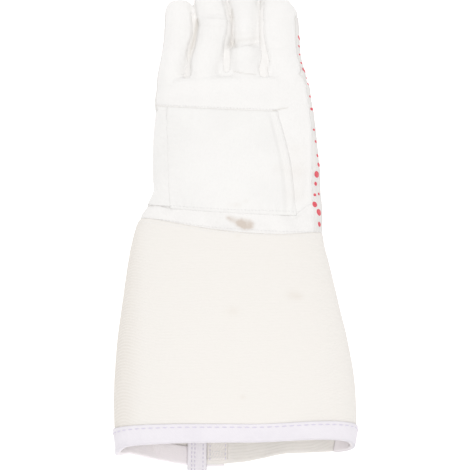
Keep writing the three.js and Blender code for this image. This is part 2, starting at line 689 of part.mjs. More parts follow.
function hemBindingGeometry() {
  const over = (GAP + TAPE) / CUFF_LENGTH;
  const seat = GAP / CUFF_LENGTH;
  const outer = GAP + TAPE;
  const inner = -CLOTH - GAP - TAPE;
  const profile = [
    [hemEdge, outer], [1 + over, outer], [1 + over, inner], [hemEdge, inner],
    [hemEdge, inner + TAPE], [1 + seat, inner + TAPE], [1 + seat, GAP], [hemEdge, GAP],
  ];
  const rings = [];
  for (const u of cuffColumns.filter((column) => column <= HEM_TAPE_END)) {
    rings.push(profile.map(([v, offset]) => cuffPoint(u, v, offset)));
  }
  return loft(rings, profile);
}

// A point beside the inner flap's free edge: `inside` is the distance in from it, `offset` is
// 0 on the flap's lower face and -CLOTH on its upper one.
function flapPoint(inside, v, offset) {
  const x = INNER_FLAP_END + inside;
  const y = mix(seamY(x), hemY(x, false), v);
  const z = clothGround(v) + innerFlapLift(v) - offset;
  return new THREE.Vector3(x, y, z);
}

const slitRows = cuffRows.slice(1);

function slitBindingGeometry() {
  const end = 1 + TAB_LENGTH / (CUFF_LENGTH + FLAP_DIP);
  const outer = GAP + TAPE;
  const inner = -CLOTH - GAP - TAPE;
  const profile = [
    [SLIT_TAPE_WIDTH, outer], [-outer, outer], [-outer, inner], [SLIT_TAPE_WIDTH, inner],
    [SLIT_TAPE_WIDTH, inner + TAPE], [-GAP, inner + TAPE], [-GAP, GAP], [SLIT_TAPE_WIDTH, GAP],
  ];
  const rings = [];
  for (const v of [...slitRows, end]) {
    rings.push(profile.map(([inside, offset]) => flapPoint(inside, v, offset)));
  }
  return loft(rings, profile);
}

const FACING_END = 0.985;     // the facing stops short of the hem

function slitFacingGeometry() {
  const from = SLIT_TAPE_WIDTH + GAP;
  return slab(3, slitRows.length - 1, (i, j, side) => flapPoint(
    from + i * FACING_WIDTH, Math.min(pick(slitRows, j), FACING_END), -CLOTH - GAP - (side ? TAPE : 0)));
}

// Pads on the back of the hand

const ULNAR_SEAM = -0.81;     // x of the seam between the pads, as a share of half the hand

// Corners of the back pad, as shares of half the hand's width and of its length.
const BACK_PAD = {
  leftLow: { across: ULNAR_SEAM, along: 0.160 }, rightLow: { across: 0.69, along: 0.117 },
  leftHigh: { across: ULNAR_SEAM, along: 0.785 }, rightHigh: { across: 0.50, along: 0.735 },
};

// Thickness across the back pad, from the little-finger side: the seam, the quilted field, the
// valley and the rolled edge. Shares of the pad's thickness.
const BACK_PAD_SWELL = [
  { along: 0.00, swell: 0.35 },
  { along: 0.05, swell: 0.85 },
  { along: 0.14, swell: 1.00 },
  { along: 0.75, swell: 1.00 },
  { along: 0.88, swell: 0.55 },
  { along: 0.95, swell: 1.30 },
  { along: 1.00, swell: 0.35 },
];

const edgeSwell = (share) => mix(0.35, 1, ease(0, 0.1, share) * ease(1, 0.9, share));

function padPoint(x, y, offset) {
  const section = readRow(bodyRows, y);
  const point = sectionPoint(section, angleAt(section, x, true), offset);
  return new THREE.Vector3(point.x, y, point.z);
}

const BACK_PAD_COLUMNS = [0, 0.05, 0.14, 0.34, 0.54, 0.75, 0.82, 0.88, 0.92, 0.95, 1];
const BACK_PAD_STEPS = [0, 0.05, 0.1, 0.25, 0.4, 0.55, 0.7, 0.85, 0.93, 1];

function backPadGeometry() {
  const half = HAND_WIDTH / 2;
  const { leftLow, rightLow, leftHigh, rightHigh } = BACK_PAD;
  return slab(BACK_PAD_COLUMNS.length - 1, BACK_PAD_STEPS.length - 1, (i, j, side) => {
    const s = pick(BACK_PAD_COLUMNS, i);
    const t = pick(BACK_PAD_STEPS, j);
    const between = (key) => mix(
      mix(leftLow[key], rightLow[key], s), mix(leftHigh[key], rightHigh[key], s), t);
    const x = half * between('across');
    const y = HAND_LENGTH * between('along');
    const swell = read(BACK_PAD_SWELL, 'swell', s) * edgeSwell(t);
    return padPoint(x, y, side ? GAP + PAD * swell : -LEATHER / 2);
  });
}

// The side pad runs from the seam between the pads over the edge of the hand.
const SIDE_PAD_COLUMNS = 6;
const SIDE_PAD_STEPS = 9;
const SIDE_PAD_REACH = 0.42;  // angle past the side, in radians
const SIDE_PAD_LOW = { inner: 0.160, outer: 0.235 };
const SIDE_PAD_HIGH = { inner: 0.785, outer: 0.850 };

function sidePadGeometry() {
  const seam = ULNAR_SEAM * HAND_WIDTH / 2 - 2 * GAP;
  return slab(SIDE_PAD_COLUMNS, SIDE_PAD_STEPS, (i, j, side) => {
    const low = mix(SIDE_PAD_LOW.inner, SIDE_PAD_LOW.outer, i);
    const high = mix(SIDE_PAD_HIGH.inner, SIDE_PAD_HIGH.outer, i);
    const y = HAND_LENGTH * mix(low, high, j);
    const section = readRow(bodyRows, y);
    const angle = mix(angleAt(section, seam, true), Math.PI + SIDE_PAD_REACH, i);
    const offset = side ? GAP + SIDE_PAD * edgeSwell(i) * edgeSwell(j) : -LEATHER / 2;
    const point = sectionPoint(section, angle, offset);
    return new THREE.Vector3(point.x, y, point.z);
  });
}

// Pieces

function handPieces() {
  const shell = handForm(0).subtract(handForm(LEATHER));
  const wrap = upright(wrapOutline(0)).add(underWrap(0));
  const wrapGrown = upright(wrapOutline(GAP)).add(underWrap(GAP));
  const pairs = [[0, 1], [1, 2], [2, 3]];
  let strips = fourchetteForm(FINGERS[0], FINGERS[1], GAP);
  for (const [a, b] of pairs.slice(1)) strips = strips.add(fourchetteForm(FINGERS[a], FINGERS[b], GAP));
  const back = shell.subtract(belowSideSeam(GAP / 2)).subtract(wrapGrown).subtract(strips);
  const slitLeft = INNER_FLAP_END - SLIT_MARGIN;
  const slitRight = OUTER_FLAP_END + FLAP_RAMP + FLAP_LEAD + SLIT_MARGIN;
  const slit = upright([
    [slitLeft, -FAR], [slitRight, -FAR],
    [slitRight, seamY(0) + SLIT_MARGIN], [slitLeft, seamY(INNER_FLAP_END) + SLIT_MARGIN],
  ], -FAR, WRIST_HEIGHT / 2);
  const palm = shell.intersect(belowSideSeam(-GAP / 2).add(wrap))
    .subtract(strips).subtract(thumbForm(GAP)).subtract(slit);
  const pieces = {
    hand_back: back.subtract(bandForm(GAP)),
    wrist_band: back.intersect(bandForm(0)),
    hand_palm: palm,
    thumb: shell.intersect(thumbForm(0)),
  };
  const seat = handForm(-GAP);
  pieces.back_pad = solid(backPadGeometry()).subtract(seat);
  pieces.side_pad = solid(sidePadGeometry()).subtract(seat);
  for (const [a, b] of pairs) {
    const name = `fourchette_${FINGERS[a].name}_${FINGERS[b].name}`;
    pieces[name] = shell.intersect(fourchetteForm(FINGERS[a], FINGERS[b], 0));
  }
  return pieces;
}

// Materials

const finish = (color, roughness) => new THREE.MeshStandardMaterial({ color, roughness, metalness: 0 });
const LEATHER_WHITE = finish(0xf6f4f1, 0.62);
const PALM_WHITE = finish(0xf1eeea, 0.7);
const PAD_WHITE = finish(0xf8f7f4, 0.6);
const BAND_WHITE = finish(0xf7f5f1, 0.75);
const CUFF_CREAM = finish(0xf3eee4, 0.85);
const TAPE_WHITE = finish(0xf1eef5, 0.7);
const FACING_GREY = finish(0xe9e3dd, 0.85);

const FINISHES = {
  hand_back: LEATHER_WHITE,
  wrist_band: BAND_WHITE,
  hand_palm: PALM_WHITE,
  thumb: PALM_WHITE,
  fourchette_little_ring: LEATHER_WHITE,
  fourchette_ring_middle: LEATHER_WHITE,
  fourchette_middle_index: LEATHER_WHITE,
  back_pad: PAD_WHITE,
  side_pad: PAD_WHITE,
  cuff: CUFF_CREAM,
  hem_binding: TAPE_WHITE,
  slit_binding: TAPE_WHITE,
  slit_facing: FACING_GREY,
};

const shapes = {
  cuff: cuffGeometry(),
  hem_binding: hemBindingGeometry(),
  slit_binding: slitBindingGeometry(),
  slit_facing: slitFacingGeometry(),
};
for (const [name, piece] of Object.entries(handPieces())) shapes[name] = geometryOf(piece);

const glove = new THREE.Group();
for (const [name, geometry] of Object.entries(shapes)) {
  const mesh = new THREE.Mesh(geometry, FINISHES[name]);
  mesh.name = name;
  glove.add(mesh);
}

const box = new THREE.Box3().setFromObject(glove);
const middle = box.getCenter(new THREE.Vector3());
glove.position.set(-middle.x, -middle.y, -box.min.z);

export default glove;
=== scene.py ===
import math

import bpy
import numpy as np
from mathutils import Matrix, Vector, noise
from mathutils.bvhtree import BVHTree


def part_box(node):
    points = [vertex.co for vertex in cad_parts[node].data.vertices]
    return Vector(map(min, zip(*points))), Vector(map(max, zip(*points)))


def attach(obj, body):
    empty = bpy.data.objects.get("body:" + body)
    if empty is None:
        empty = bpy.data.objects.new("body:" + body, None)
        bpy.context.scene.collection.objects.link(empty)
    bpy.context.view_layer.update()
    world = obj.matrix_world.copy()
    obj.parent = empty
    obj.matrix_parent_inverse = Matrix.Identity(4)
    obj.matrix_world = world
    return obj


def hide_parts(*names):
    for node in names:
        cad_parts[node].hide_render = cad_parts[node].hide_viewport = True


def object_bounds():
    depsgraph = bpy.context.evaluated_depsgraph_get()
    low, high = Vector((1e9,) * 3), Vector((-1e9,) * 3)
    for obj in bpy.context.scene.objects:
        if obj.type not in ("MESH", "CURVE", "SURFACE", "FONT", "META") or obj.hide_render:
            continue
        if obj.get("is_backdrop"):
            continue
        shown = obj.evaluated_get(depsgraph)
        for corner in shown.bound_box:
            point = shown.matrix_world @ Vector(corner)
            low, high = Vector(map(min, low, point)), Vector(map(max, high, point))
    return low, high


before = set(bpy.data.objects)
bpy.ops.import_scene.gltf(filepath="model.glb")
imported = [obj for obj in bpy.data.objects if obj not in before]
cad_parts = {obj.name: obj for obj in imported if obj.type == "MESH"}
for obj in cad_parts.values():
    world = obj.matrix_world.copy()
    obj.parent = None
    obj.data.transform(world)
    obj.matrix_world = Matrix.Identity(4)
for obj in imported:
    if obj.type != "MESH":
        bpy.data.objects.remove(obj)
cad_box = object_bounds()

# A white fencing glove for the left hand, lying palm down, with a long cloth gauntlet.
# Shapes are worked out in millimetres with x = 0 on the middle of the glove, y = 0 at the wrist
# seam and z = 0 on the surface, +X towards the thumb side and +Y towards the fingertips. They
# are moved into the frame, in metres, when a piece is made.

MM = 0.001
CUFF_LENGTH = 154             # wrist seam to hem
HAND_LENGTH = 128             # wrist seam to the crotches of the fingers
MIDDLE_LENGTH = 99.5          # crotch to tip
THUMB_SEAM = 50               # wrist seam to thumb seam
CUFF_WIDTH = 170.4
HAND_WIDTH = 122
WRIST_LEFT = 75.4             # from the middle of the glove to the two ends of the wrist seam
WRIST_RIGHT = 65.2
CUFF_HEIGHT = 55
WRIST_HEIGHT = 45.5
HAND_HEIGHT = 45
KNUCKLE_HEIGHT = 44
THUMB_HEIGHT = 20
LEATHER = 1.6
STRIP_LEATHER_WALL = 1.2
CLOTH = 1.5
TAPE = 0.9
PAD = 3.0
SIDE_PAD = 2.5
GAP = 0.3                     # between two layers of cloth or tape
ROUNDNESS = 2.3               # exponent of the sections, which are superellipses

hand_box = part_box("hand_back")
cuff_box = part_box("cuff")
PLACE = np.array([
    (cuff_box[0].x + cuff_box[1].x) / 2 / MM,
    hand_box[1].y / MM - HAND_LENGTH - MIDDLE_LENGTH,
    0.0,
])


def in_frame(points):
    """Millimetres of the glove to metres of the frame."""
    return (np.asarray(points, float) + PLACE) * MM


# Camera, at the photograph's angle. Its rays place what the photograph shows.

FRAME_PIXELS = 470
LENS = 110.0
SENSOR = 36.0
ELEVATION = math.radians(70)
MM_PER_PIXEL = 0.735
AIM = np.array([0.0, 4.2, 25.0])
FOCAL_PIXELS = LENS / SENSOR * FRAME_PIXELS
DISTANCE = MM_PER_PIXEL * FOCAL_PIXELS
LOOK = np.array([0.0, math.cos(ELEVATION), -math.sin(ELEVATION)])
UP = np.array([0.0, math.sin(ELEVATION), math.cos(ELEVATION)])
EYE = AIM - DISTANCE * LOOK


def ray(px, py):
    """The direction from the eye through a pixel of the photograph."""
    across = (px - FRAME_PIXELS / 2) / FOCAL_PIXELS
    up = (FRAME_PIXELS / 2 - py) / FOCAL_PIXELS
    direction = LOOK + across * np.array([1.0, 0.0, 0.0]) + up * UP
    return direction / np.linalg.norm(direction)


def pixels_of(points):
    """Where the camera sees points in millimetres."""
    away = np.asarray(points) - EYE
    depth = away @ LOOK
    px = FRAME_PIXELS / 2 + FOCAL_PIXELS * away[:, 0] / depth
    py = FRAME_PIXELS / 2 - FOCAL_PIXELS * (away @ UP) / depth
    return px, py


def add_object(name, data):
    obj = bpy.data.objects.new(name, data)
    bpy.context.scene.collection.objects.link(obj)
    return obj


def make_camera():
    data = bpy.data.cameras.new("camera")
    data.lens = LENS
    data.sensor_width = SENSOR
    data.sensor_fit = "HORIZONTAL"
    data.clip_end = 10
    camera = add_object("camera", data)
    camera.location = in_frame(EYE)
    camera.rotation_euler = (math.pi / 2 - ELEVATION, 0, 0)
    bpy.context.scene.camera = camera


# Small helpers on arrays

def clamp(value, low, high):
    return np.minimum(np.maximum(value, low), high)


def mix(a, b, share):
    return a + (b - a) * share


def ease(start, end, value):
    share = clamp((np.asarray(value, float) - start) / (end - start), 0, 1)
    return share * share * (3 - 2 * share)


def bell(gap, width):
    """1 where the gap is zero, fading away on both sides."""
    return np.exp(-(gap / width) ** 2)


def unit(vectors):
    return vectors / np.maximum(np.linalg.norm(vectors, axis=-1, keepdims=True), 1e-12)


def turns(sides):
    """Even angles round a closed section."""
    return np.linspace(0, 2 * math.pi, sides, endpoint=False)[None, :]


class Table:
    """Smooth curves through the named columns of a short table whose first column rises."""

    def __init__(self, names, rows):
        rows = sorted(rows)
        self.columns = dict(zip(names.split(), np.array(rows, float).T))
        self.along = np.array([row[0] for row in rows], float)

    def __call__(self, name, along):
        knots = self.along
        values = self.columns[name]
        slopes = np.empty_like(values)
        slopes[1:-1] = (values[2:] - values[:-2]) / (knots[2:] - knots[:-2])
        slopes[0] = (values[1] - values[0]) / (knots[1] - knots[0])
        slopes[-1] = (values[-1] - values[-2]) / (knots[-1] - knots[-2])
        along = clamp(np.asarray(along, float), knots[0], knots[-1])
        i = np.clip(np.searchsorted(knots, along, side="right") - 1, 0, len(knots) - 2)
        span = knots[i + 1] - knots[i]
        t = (along - knots[i]) / span
        return (
            values[i] * (1 + 2 * t) * (1 - t) ** 2 + values[i + 1] * t * t * (3 - 2 * t)
            + span * (slopes[i] * t * (1 - t) ** 2 - slopes[i + 1] * t * t * (1 - t))
        )


# Sections of the gauntlet and of the hand, as shares of the named sizes

CUFF_TABLE = Table("along flareLeft flareRight rise underLeft underRight", [
    (1.00, 0.69, 0.86, 1.00, -0.11, 0.10),
    (0.92, 0.89, 0.97, 0.98, -0.11, 0.10),
    (0.81, 1.00, 1.00, 0.93, -0.11, 0.08),
    (0.67, 1.00, 0.95, 0.84, -0.10, 0.06),
    (0.48, 0.87, 0.74, 0.65, -0.10, 0.03),
    (0.29, 0.60, 0.45, 0.38, -0.09, 0.00),
    (0.14, 0.35, 0.22, 0.15, -0.08, -0.03),
])
CUFF_SIDE = 0.49
HAND_TABLE = Table("along left right flare top", [
    (0.00, 1.00, 1.05, 1.00, 1.01),
    (0.14, 1.01, 1.05, 0.65, 0.99),
    (0.22, 0.99, 1.05, 0.28, 0.98),
    (0.31, 0.975, 1.04, 0.00, 0.98),
    (0.40, 0.985, 1.04, 0.00, 0.99),
    (0.47, 0.99, 1.03, 0.00, 1.00),
    (0.63, 0.99, 1.00, 0.00, 1.00),
    (0.80, 0.98, 0.96, 0.00, 1.00),
    (0.87, 1.00, 0.94, 0.00, 1.02),
    (0.95, 0.98, 0.92, 0.00, 0.99),
    (0.985, 0.94, 0.88, 0.00, 0.90),
    (1.005, 0.86, 0.80, 0.00, 0.80),
])
UNDER_TABLE = Table("along sideLeft sideRight underLeft underRight", [
    (0.00, 0.49, 0.50, -0.07, -0.07),
    (0.14, 0.48, 0.50, -0.07, -0.06),
    (0.22, 0.47, 0.52, -0.07, -0.02),
    (0.31, 0.46, 0.57, -0.07, 0.18),
    (0.40, 0.45, 0.64, -0.07, 0.38),
    (0.47, 0.45, 0.68, -0.07, 0.47),
    (0.80, 0.45, 0.69, -0.06, 0.47),
    (0.95, 0.46, 0.68, 0.02, 0.45),
    (1.005, 0.50, 0.64, 0.16, 0.46),
])

# Where the raised part of the underside begins and ends, as shares of the width
CUFF_RAMP = (0.48, 0.75)
HAND_RAMP = (0.27, 0.53)


class Finger:
    """A finger or the thumb: its place, sizes and the table of its sections."""

    def __init__(self, place, length, width, rows, root=HAND_LENGTH, height=KNUCKLE_HEIGHT):
        self.place = place
        self.length = length
        self.width = width
        self.root = root
        self.height = height
        self.start = rows[0][0]
        self.table = Table("along lean width top bottom", rows)

    def centre(self, along):
        return self.place * HAND_WIDTH / 2 + self.table("lean", along) * self.width

    def section(self, along):
        """The section's edges at a share of the length."""
        half = self.table("width", along) * self.width / 2
        top = self.table("top", along) * self.height
        bottom = self.table("bottom", along) * self.height
        return plain_section(self.centre(along) - half, self.centre(along) + half, top, bottom)

    def middle(self, y):
        return self.centre((y - self.root) / self.length)


def plain_section(left, right, top, bottom):
    """A section whose underside is as low on both sides."""
    side = (top + bottom) / 2
    return dict(left=left, right=right, top=top, sideLeft=side, sideRight=side, underLeft=bottom,
                underRight=bottom, rampFrom=0 * side, rampTo=0 * side + 1)


LITTLE = Finger(-0.795, 78.5, 22.8, [
    (-0.20, 0.00, 0.88, 0.80, 0.06), (0.00, 0.01, 1.02, 0.82, 0.05),
    (0.27, 0.11, 0.98, 0.73, 0.03), (0.38, 0.17, 1.03, 0.67, 0.02),
    (0.495, 0.235, 1.095, 0.61, 0.00), (0.573, 0.273, 1.122, 0.57, 0.00),
    (0.72, 0.262, 1.085, 0.49, 0.00), (0.836, 0.225, 1.03, 0.445, 0.00),
    (0.90, 0.20, 0.96, 0.42, 0.00), (0.96, 0.195, 0.83, 0.37, 0.03),
    (1.00, 0.195, 0.56, 0.29, 0.12)])
RING = Finger(-0.377, 96.5, 27, [
    (-0.17, 0.00, 0.92, 0.93, 0.16), (0.00, 0.01, 1.03, 0.95, 0.18),
    (0.165, 0.052, 1.02, 0.88, 0.20), (0.26, 0.14, 1.01, 0.83, 0.18),
    (0.38, 0.222, 1.015, 0.76, 0.12), (0.45, 0.255, 1.04, 0.73, 0.08),
    (0.525, 0.265, 1.03, 0.70, 0.05), (0.575, 0.25, 1.03, 0.61, 0.03),
    (0.605, 0.24, 1.04, 0.59, 0.02), (0.68, 0.19, 1.03, 0.56, 0.00),
    (0.78, 0.13, 0.95, 0.51, 0.00), (0.88, 0.12, 0.85, 0.45, 0.00),
    (0.96, 0.12, 0.58, 0.38, 0.03), (1.00, 0.12, 0.20, 0.28, 0.12)])
MIDDLE = Finger(0.123, MIDDLE_LENGTH, 24, [
    (-0.16, 0.00, 0.88, 0.95, 0.50), (0.00, 0.03, 1.02, 0.97, 0.42),
    (0.15, 0.025, 1.04, 0.90, 0.30), (0.24, 0.02, 1.045, 0.86, 0.22),
    (0.31, 0.03, 0.93, 0.69, 0.17), (0.42, 0.04, 0.88, 0.63, 0.10),
    (0.614, 0.02, 0.91, 0.55, 0.02), (0.75, -0.05, 1.02, 0.50, 0.00),
    (0.85, -0.06, 0.92, 0.455, 0.00), (0.93, -0.05, 0.68, 0.41, 0.00),
    (0.97, -0.05, 0.48, 0.36, 0.04), (1.00, -0.05, 0.20, 0.28, 0.12)])
INDEX = Finger(0.647, 86, 30.6, [
    (-0.18, -0.03, 0.85, 0.90, 0.50), (0.00, -0.02, 1.02, 0.93, 0.43),
    (0.117, -0.072, 1.01, 0.88, 0.35), (0.248, -0.137, 1.02, 0.82, 0.27),
    (0.452, -0.19, 1.076, 0.72, 0.15), (0.658, -0.199, 1.07, 0.62, 0.04),
    (0.763, -0.207, 1.05, 0.57, 0.01), (0.814, -0.227, 0.995, 0.54, 0.00),
    (0.866, -0.268, 0.885, 0.50, 0.00), (0.93, -0.31, 0.71, 0.45, 0.01),
    (0.975, -0.33, 0.50, 0.37, 0.04), (1.00, -0.34, 0.24, 0.28, 0.12)])
THUMB = Finger(0.745, 70, 31, [
    (-0.40, -0.08, 0.94, 1.02, 0.00), (-0.10, 0.00, 1.05, 1.00, 0.00),
    (0.17, -0.02, 1.00, 0.95, 0.00), (0.45, -0.20, 0.94, 0.93, 0.00),
    (0.72, -0.44, 0.86, 0.88, 0.00), (0.88, -0.60, 0.73, 0.80, 0.00),
    (0.965, -0.68, 0.48, 0.68, 0.05), (1.00, -0.71, 0.18, 0.52, 0.20)],
    root=THUMB_SEAM, height=THUMB_HEIGHT)
FINGERS = [LITTLE, RING, MIDDLE, INDEX]


def body_table():
    """The sections of gauntlet and hand together, in millimetres over y."""
    rows = []
    for along in CUFF_TABLE.along:
        height = mix(WRIST_HEIGHT, CUFF_HEIGHT, CUFF_TABLE("rise", along))
        rows.append((
            -along * CUFF_LENGTH,
            -mix(WRIST_LEFT, CUFF_WIDTH / 2, CUFF_TABLE("flareLeft", along)),
            mix(WRIST_RIGHT, CUFF_WIDTH / 2, CUFF_TABLE("flareRight", along)),
            height, CUFF_SIDE * height, CUFF_SIDE * height,
            CUFF_TABLE("underLeft", along) * height, CUFF_TABLE("underRight", along) * height,
            *CUFF_RAMP))
    for along in HAND_TABLE.along:
        flare = HAND_TABLE("flare", along)
        left = HAND_TABLE("left", along) * HAND_WIDTH / 2
        right = HAND_TABLE("right", along) * HAND_WIDTH / 2
        under = [UNDER_TABLE(name, along) * HAND_HEIGHT
                 for name in ("sideLeft", "sideRight", "underLeft", "underRight")]
        rows.append((
            along * HAND_LENGTH, -mix(left, WRIST_LEFT, flare), mix(right, WRIST_RIGHT, flare),
            HAND_TABLE("top", along) * HAND_HEIGHT, *under, *HAND_RAMP))
    names = "along left right top sideLeft sideRight underLeft underRight rampFrom rampTo"
    return Table(names, [tuple(float(value) for value in row) for row in rows])


BODY = body_table()


def body_section(y):
    return {name: BODY(name, y) for name in BODY.columns if name != "along"}


def section_point(section, angle, offset, ground=0.0):
    """x and z of a point of a section; the angle runs from the thumb side over the top."""
    across = np.cos(angle)
    up = np.sin(angle)
    reach = np.sign(across) * np.abs(across) ** (2 / ROUNDNESS)
    swell = np.abs(up) ** (2 / ROUNDNESS)
    middle = (section["left"] + section["right"]) / 2
    half = (section["right"] - section["left"]) / 2
    share = (1 + reach) / 2
    side = mix(section["sideLeft"], section["sideRight"], share)
    x = middle + (half + offset) * reach
    ramp = ease(section["rampFrom"], section["rampTo"], share)
    under = mix(section["underLeft"], section["underRight"], ramp) - offset
    top = side + (section["top"] + offset - side) * swell
    z = np.where(up < 0, side - (side - under) * swell, top)
    return x, np.maximum(z, ground - offset)


def angle_at(section, x, is_top):
    middle = (section["left"] + section["right"]) / 2
    half = (section["right"] - section["left"]) / 2
    reach = clamp((x - middle) / half, -1, 1)
    angle = np.arccos(np.sign(reach) * np.abs(reach) ** (ROUNDNESS / 2))
    return np.where(is_top, angle, -angle)


# The wrist seam and the hem, as y over x

SEAM_DROP = 1.4               # the wrist seam's lowest point and where it lies
SEAM_LOWEST_X = 25
SEAM_BOW = (0.002, 0.0045)    # how it climbs towards the left and the right side
HEM_DROP = 1.3                # the hem over the middle and how much higher it is at the right
HEM_RISE = 4
FLAP_DIP = 7.7                # how far the lower wall reaches past the upper one
CORNER_DIP = 4.2              # how far the hem hangs lower at its left corner


def seam_y(x):
    """The seam between the hand and the gauntlet."""
    bow = np.where(x < SEAM_LOWEST_X, *SEAM_BOW)
    return -SEAM_DROP + bow * (x - SEAM_LOWEST_X) ** 2


def hem_y(x, is_top):
    share = 2 * x / CUFF_WIDTH
    top = -CUFF_LENGTH - HEM_DROP + HEM_RISE * ease(0.1, 0.9, share)
    dip = FLAP_DIP * (1 - ease(-0.18, 0.48, share)) * ease(-0.95, -0.22, share)
    return np.where(is_top, top, -CUFF_LENGTH - dip)


def field_noise(points, size, seed=0.0):
    """Smooth noise from -1 to 1, the same in each run, with the given size in millimetres."""
    shift = Vector((seed * 17.3, seed * 5.1, seed * 9.7))
    return np.array([noise.noise(Vector(p) + shift) for p in np.asarray(points) / size])


# Meshes

def new_object(name, points, faces):
    """A smooth object in the frame from points in millimetres."""
    mesh = bpy.data.meshes.new(name)
    mesh.from_pydata(in_frame(points).tolist(), [], [list(map(int, face)) for face in faces])
    mesh.update()
    mesh.polygons.foreach_set("use_smooth", [True] * len(mesh.polygons))
    return add_object(name, mesh)


def add_value(obj, name, values):
    """A number at each vertex, which the materials read."""
    attribute = obj.data.attributes.new(name, "FLOAT", "POINT")
    attribute.data.foreach_set("value", np.asarray(values, np.float32))


def add_weave_map(obj, across, along):
    """A UV map in metres of cloth, from lengths in millimetres at each vertex."""
    layer = obj.data.uv_layers.new(name="weave")
    loops = np.empty(len(obj.data.loops), np.int32)
    obj.data.loops.foreach_get("vertex_index", loops)
    lengths = np.stack([np.ravel(across)[loops], np.ravel(along)[loops]], 1) * MM
    layer.data.foreach_set("uv", lengths.ravel())


def grid_faces(rows, columns, closed=False):
    """Quads of a grid of points, row by row."""
    faces = []
    last = columns if closed else columns - 1
    for r in range(rows - 1):
        for c in range(last):
            a = r * columns + c
            b = r * columns + (c + 1) % columns
            faces.append((a, b, b + columns, a + columns))
    return faces


def tube_faces(rows, columns):
    """Faces of a tube through closed rings of points, with its two ends."""
    ends = [tuple(range(columns))[::-1], tuple(range((rows - 1) * columns, rows * columns))]
    return grid_faces(rows, columns, closed=True) + ends


def facing_out(points, faces):
    """The faces of a closed body, all turned to point outwards."""
    fans = np.array([(f[0], f[k], f[k + 1]) for f in faces for k in range(1, len(f) - 1)])
    a, b, c = points[fans].transpose(1, 0, 2)
    volume = (a * np.cross(b, c)).sum()
    return faces if volume > 0 else [face[::-1] for face in faces]


def lengths_along(points, axis):
    """Running length of a grid of points along one axis."""
    step = np.linalg.norm(np.diff(points, axis=axis), axis=-1)
    pad = [(1, 0) if k == axis else (0, 0) for k in range(step.ndim)]
    return np.pad(np.cumsum(step, axis=axis), pad)


def slab_object(name, outer, inner, weave=None, values=None):
    """A closed slab between two grids of points, outer skin first."""
    rows, columns = outer.shape[:2]
    count = rows * columns
    skin = grid_faces(rows, columns)
    edge = [*range(columns), *[r * columns + columns - 1 for r in range(1, rows)],
            *[(rows - 1) * columns + c for c in range(columns - 2, -1, -1)],
            *[r * columns for r in range(rows - 2, 0, -1)]]
    sides = [(a, a + count, b + count, b) for a, b in zip(edge, edge[1:] + edge[:1])]
    faces = skin + [tuple(i + count for i in face[::-1]) for face in skin] + sides
    points = np.concatenate([outer.reshape(-1, 3), inner.reshape(-1, 3)])
    obj = new_object(name, points, facing_out(points, faces))
    if weave:
        add_weave_map(obj, *[np.tile(np.ravel(lengths), 2) for lengths in weave])
    for key, array in (values or {}).items():
        add_value(obj, key, np.tile(np.ravel(array), 2))
    add_value(obj, "inside", np.repeat([0.0, 1.0], count))
    return obj


def ribbon_object(name, rings, across, along, inside):
    """A closed ribbon through rings of profile points."""
    points = rings.reshape(-1, 3)
    obj = new_object(name, points, facing_out(points, tube_faces(*rings.shape[:2])))
    blank = 0 * rings[..., 0]
    add_weave_map(obj, across + blank, along + blank)
    add_value(obj, "inside", np.ravel(inside + blank))
    return obj


def smoothed(points, edges, rounds, strength=0.5):
    """Each point moves towards the mean of its neighbours."""
    points = points.copy()
    count = np.zeros(len(points))
    np.add.at(count, edges.ravel(), 1)
    count = np.maximum(count, 1)[:, None]
    for _ in range(rounds):
        total = np.zeros_like(points)
        np.add.at(total, edges[:, 0], points[edges[:, 1]])
        np.add.at(total, edges[:, 1], points[edges[:, 0]])
        points += strength * (total / count - points)
    return points


def in_use(faces, count):
    """The points that the faces use, and the faces with their points numbered anew."""
    used = np.unique(faces)
    place = np.full(count, -1)
    place[used] = np.arange(len(used))
    return used, place[faces]


def tree_of(points, faces):
    return BVHTree.FromPolygons(points.tolist(), faces)


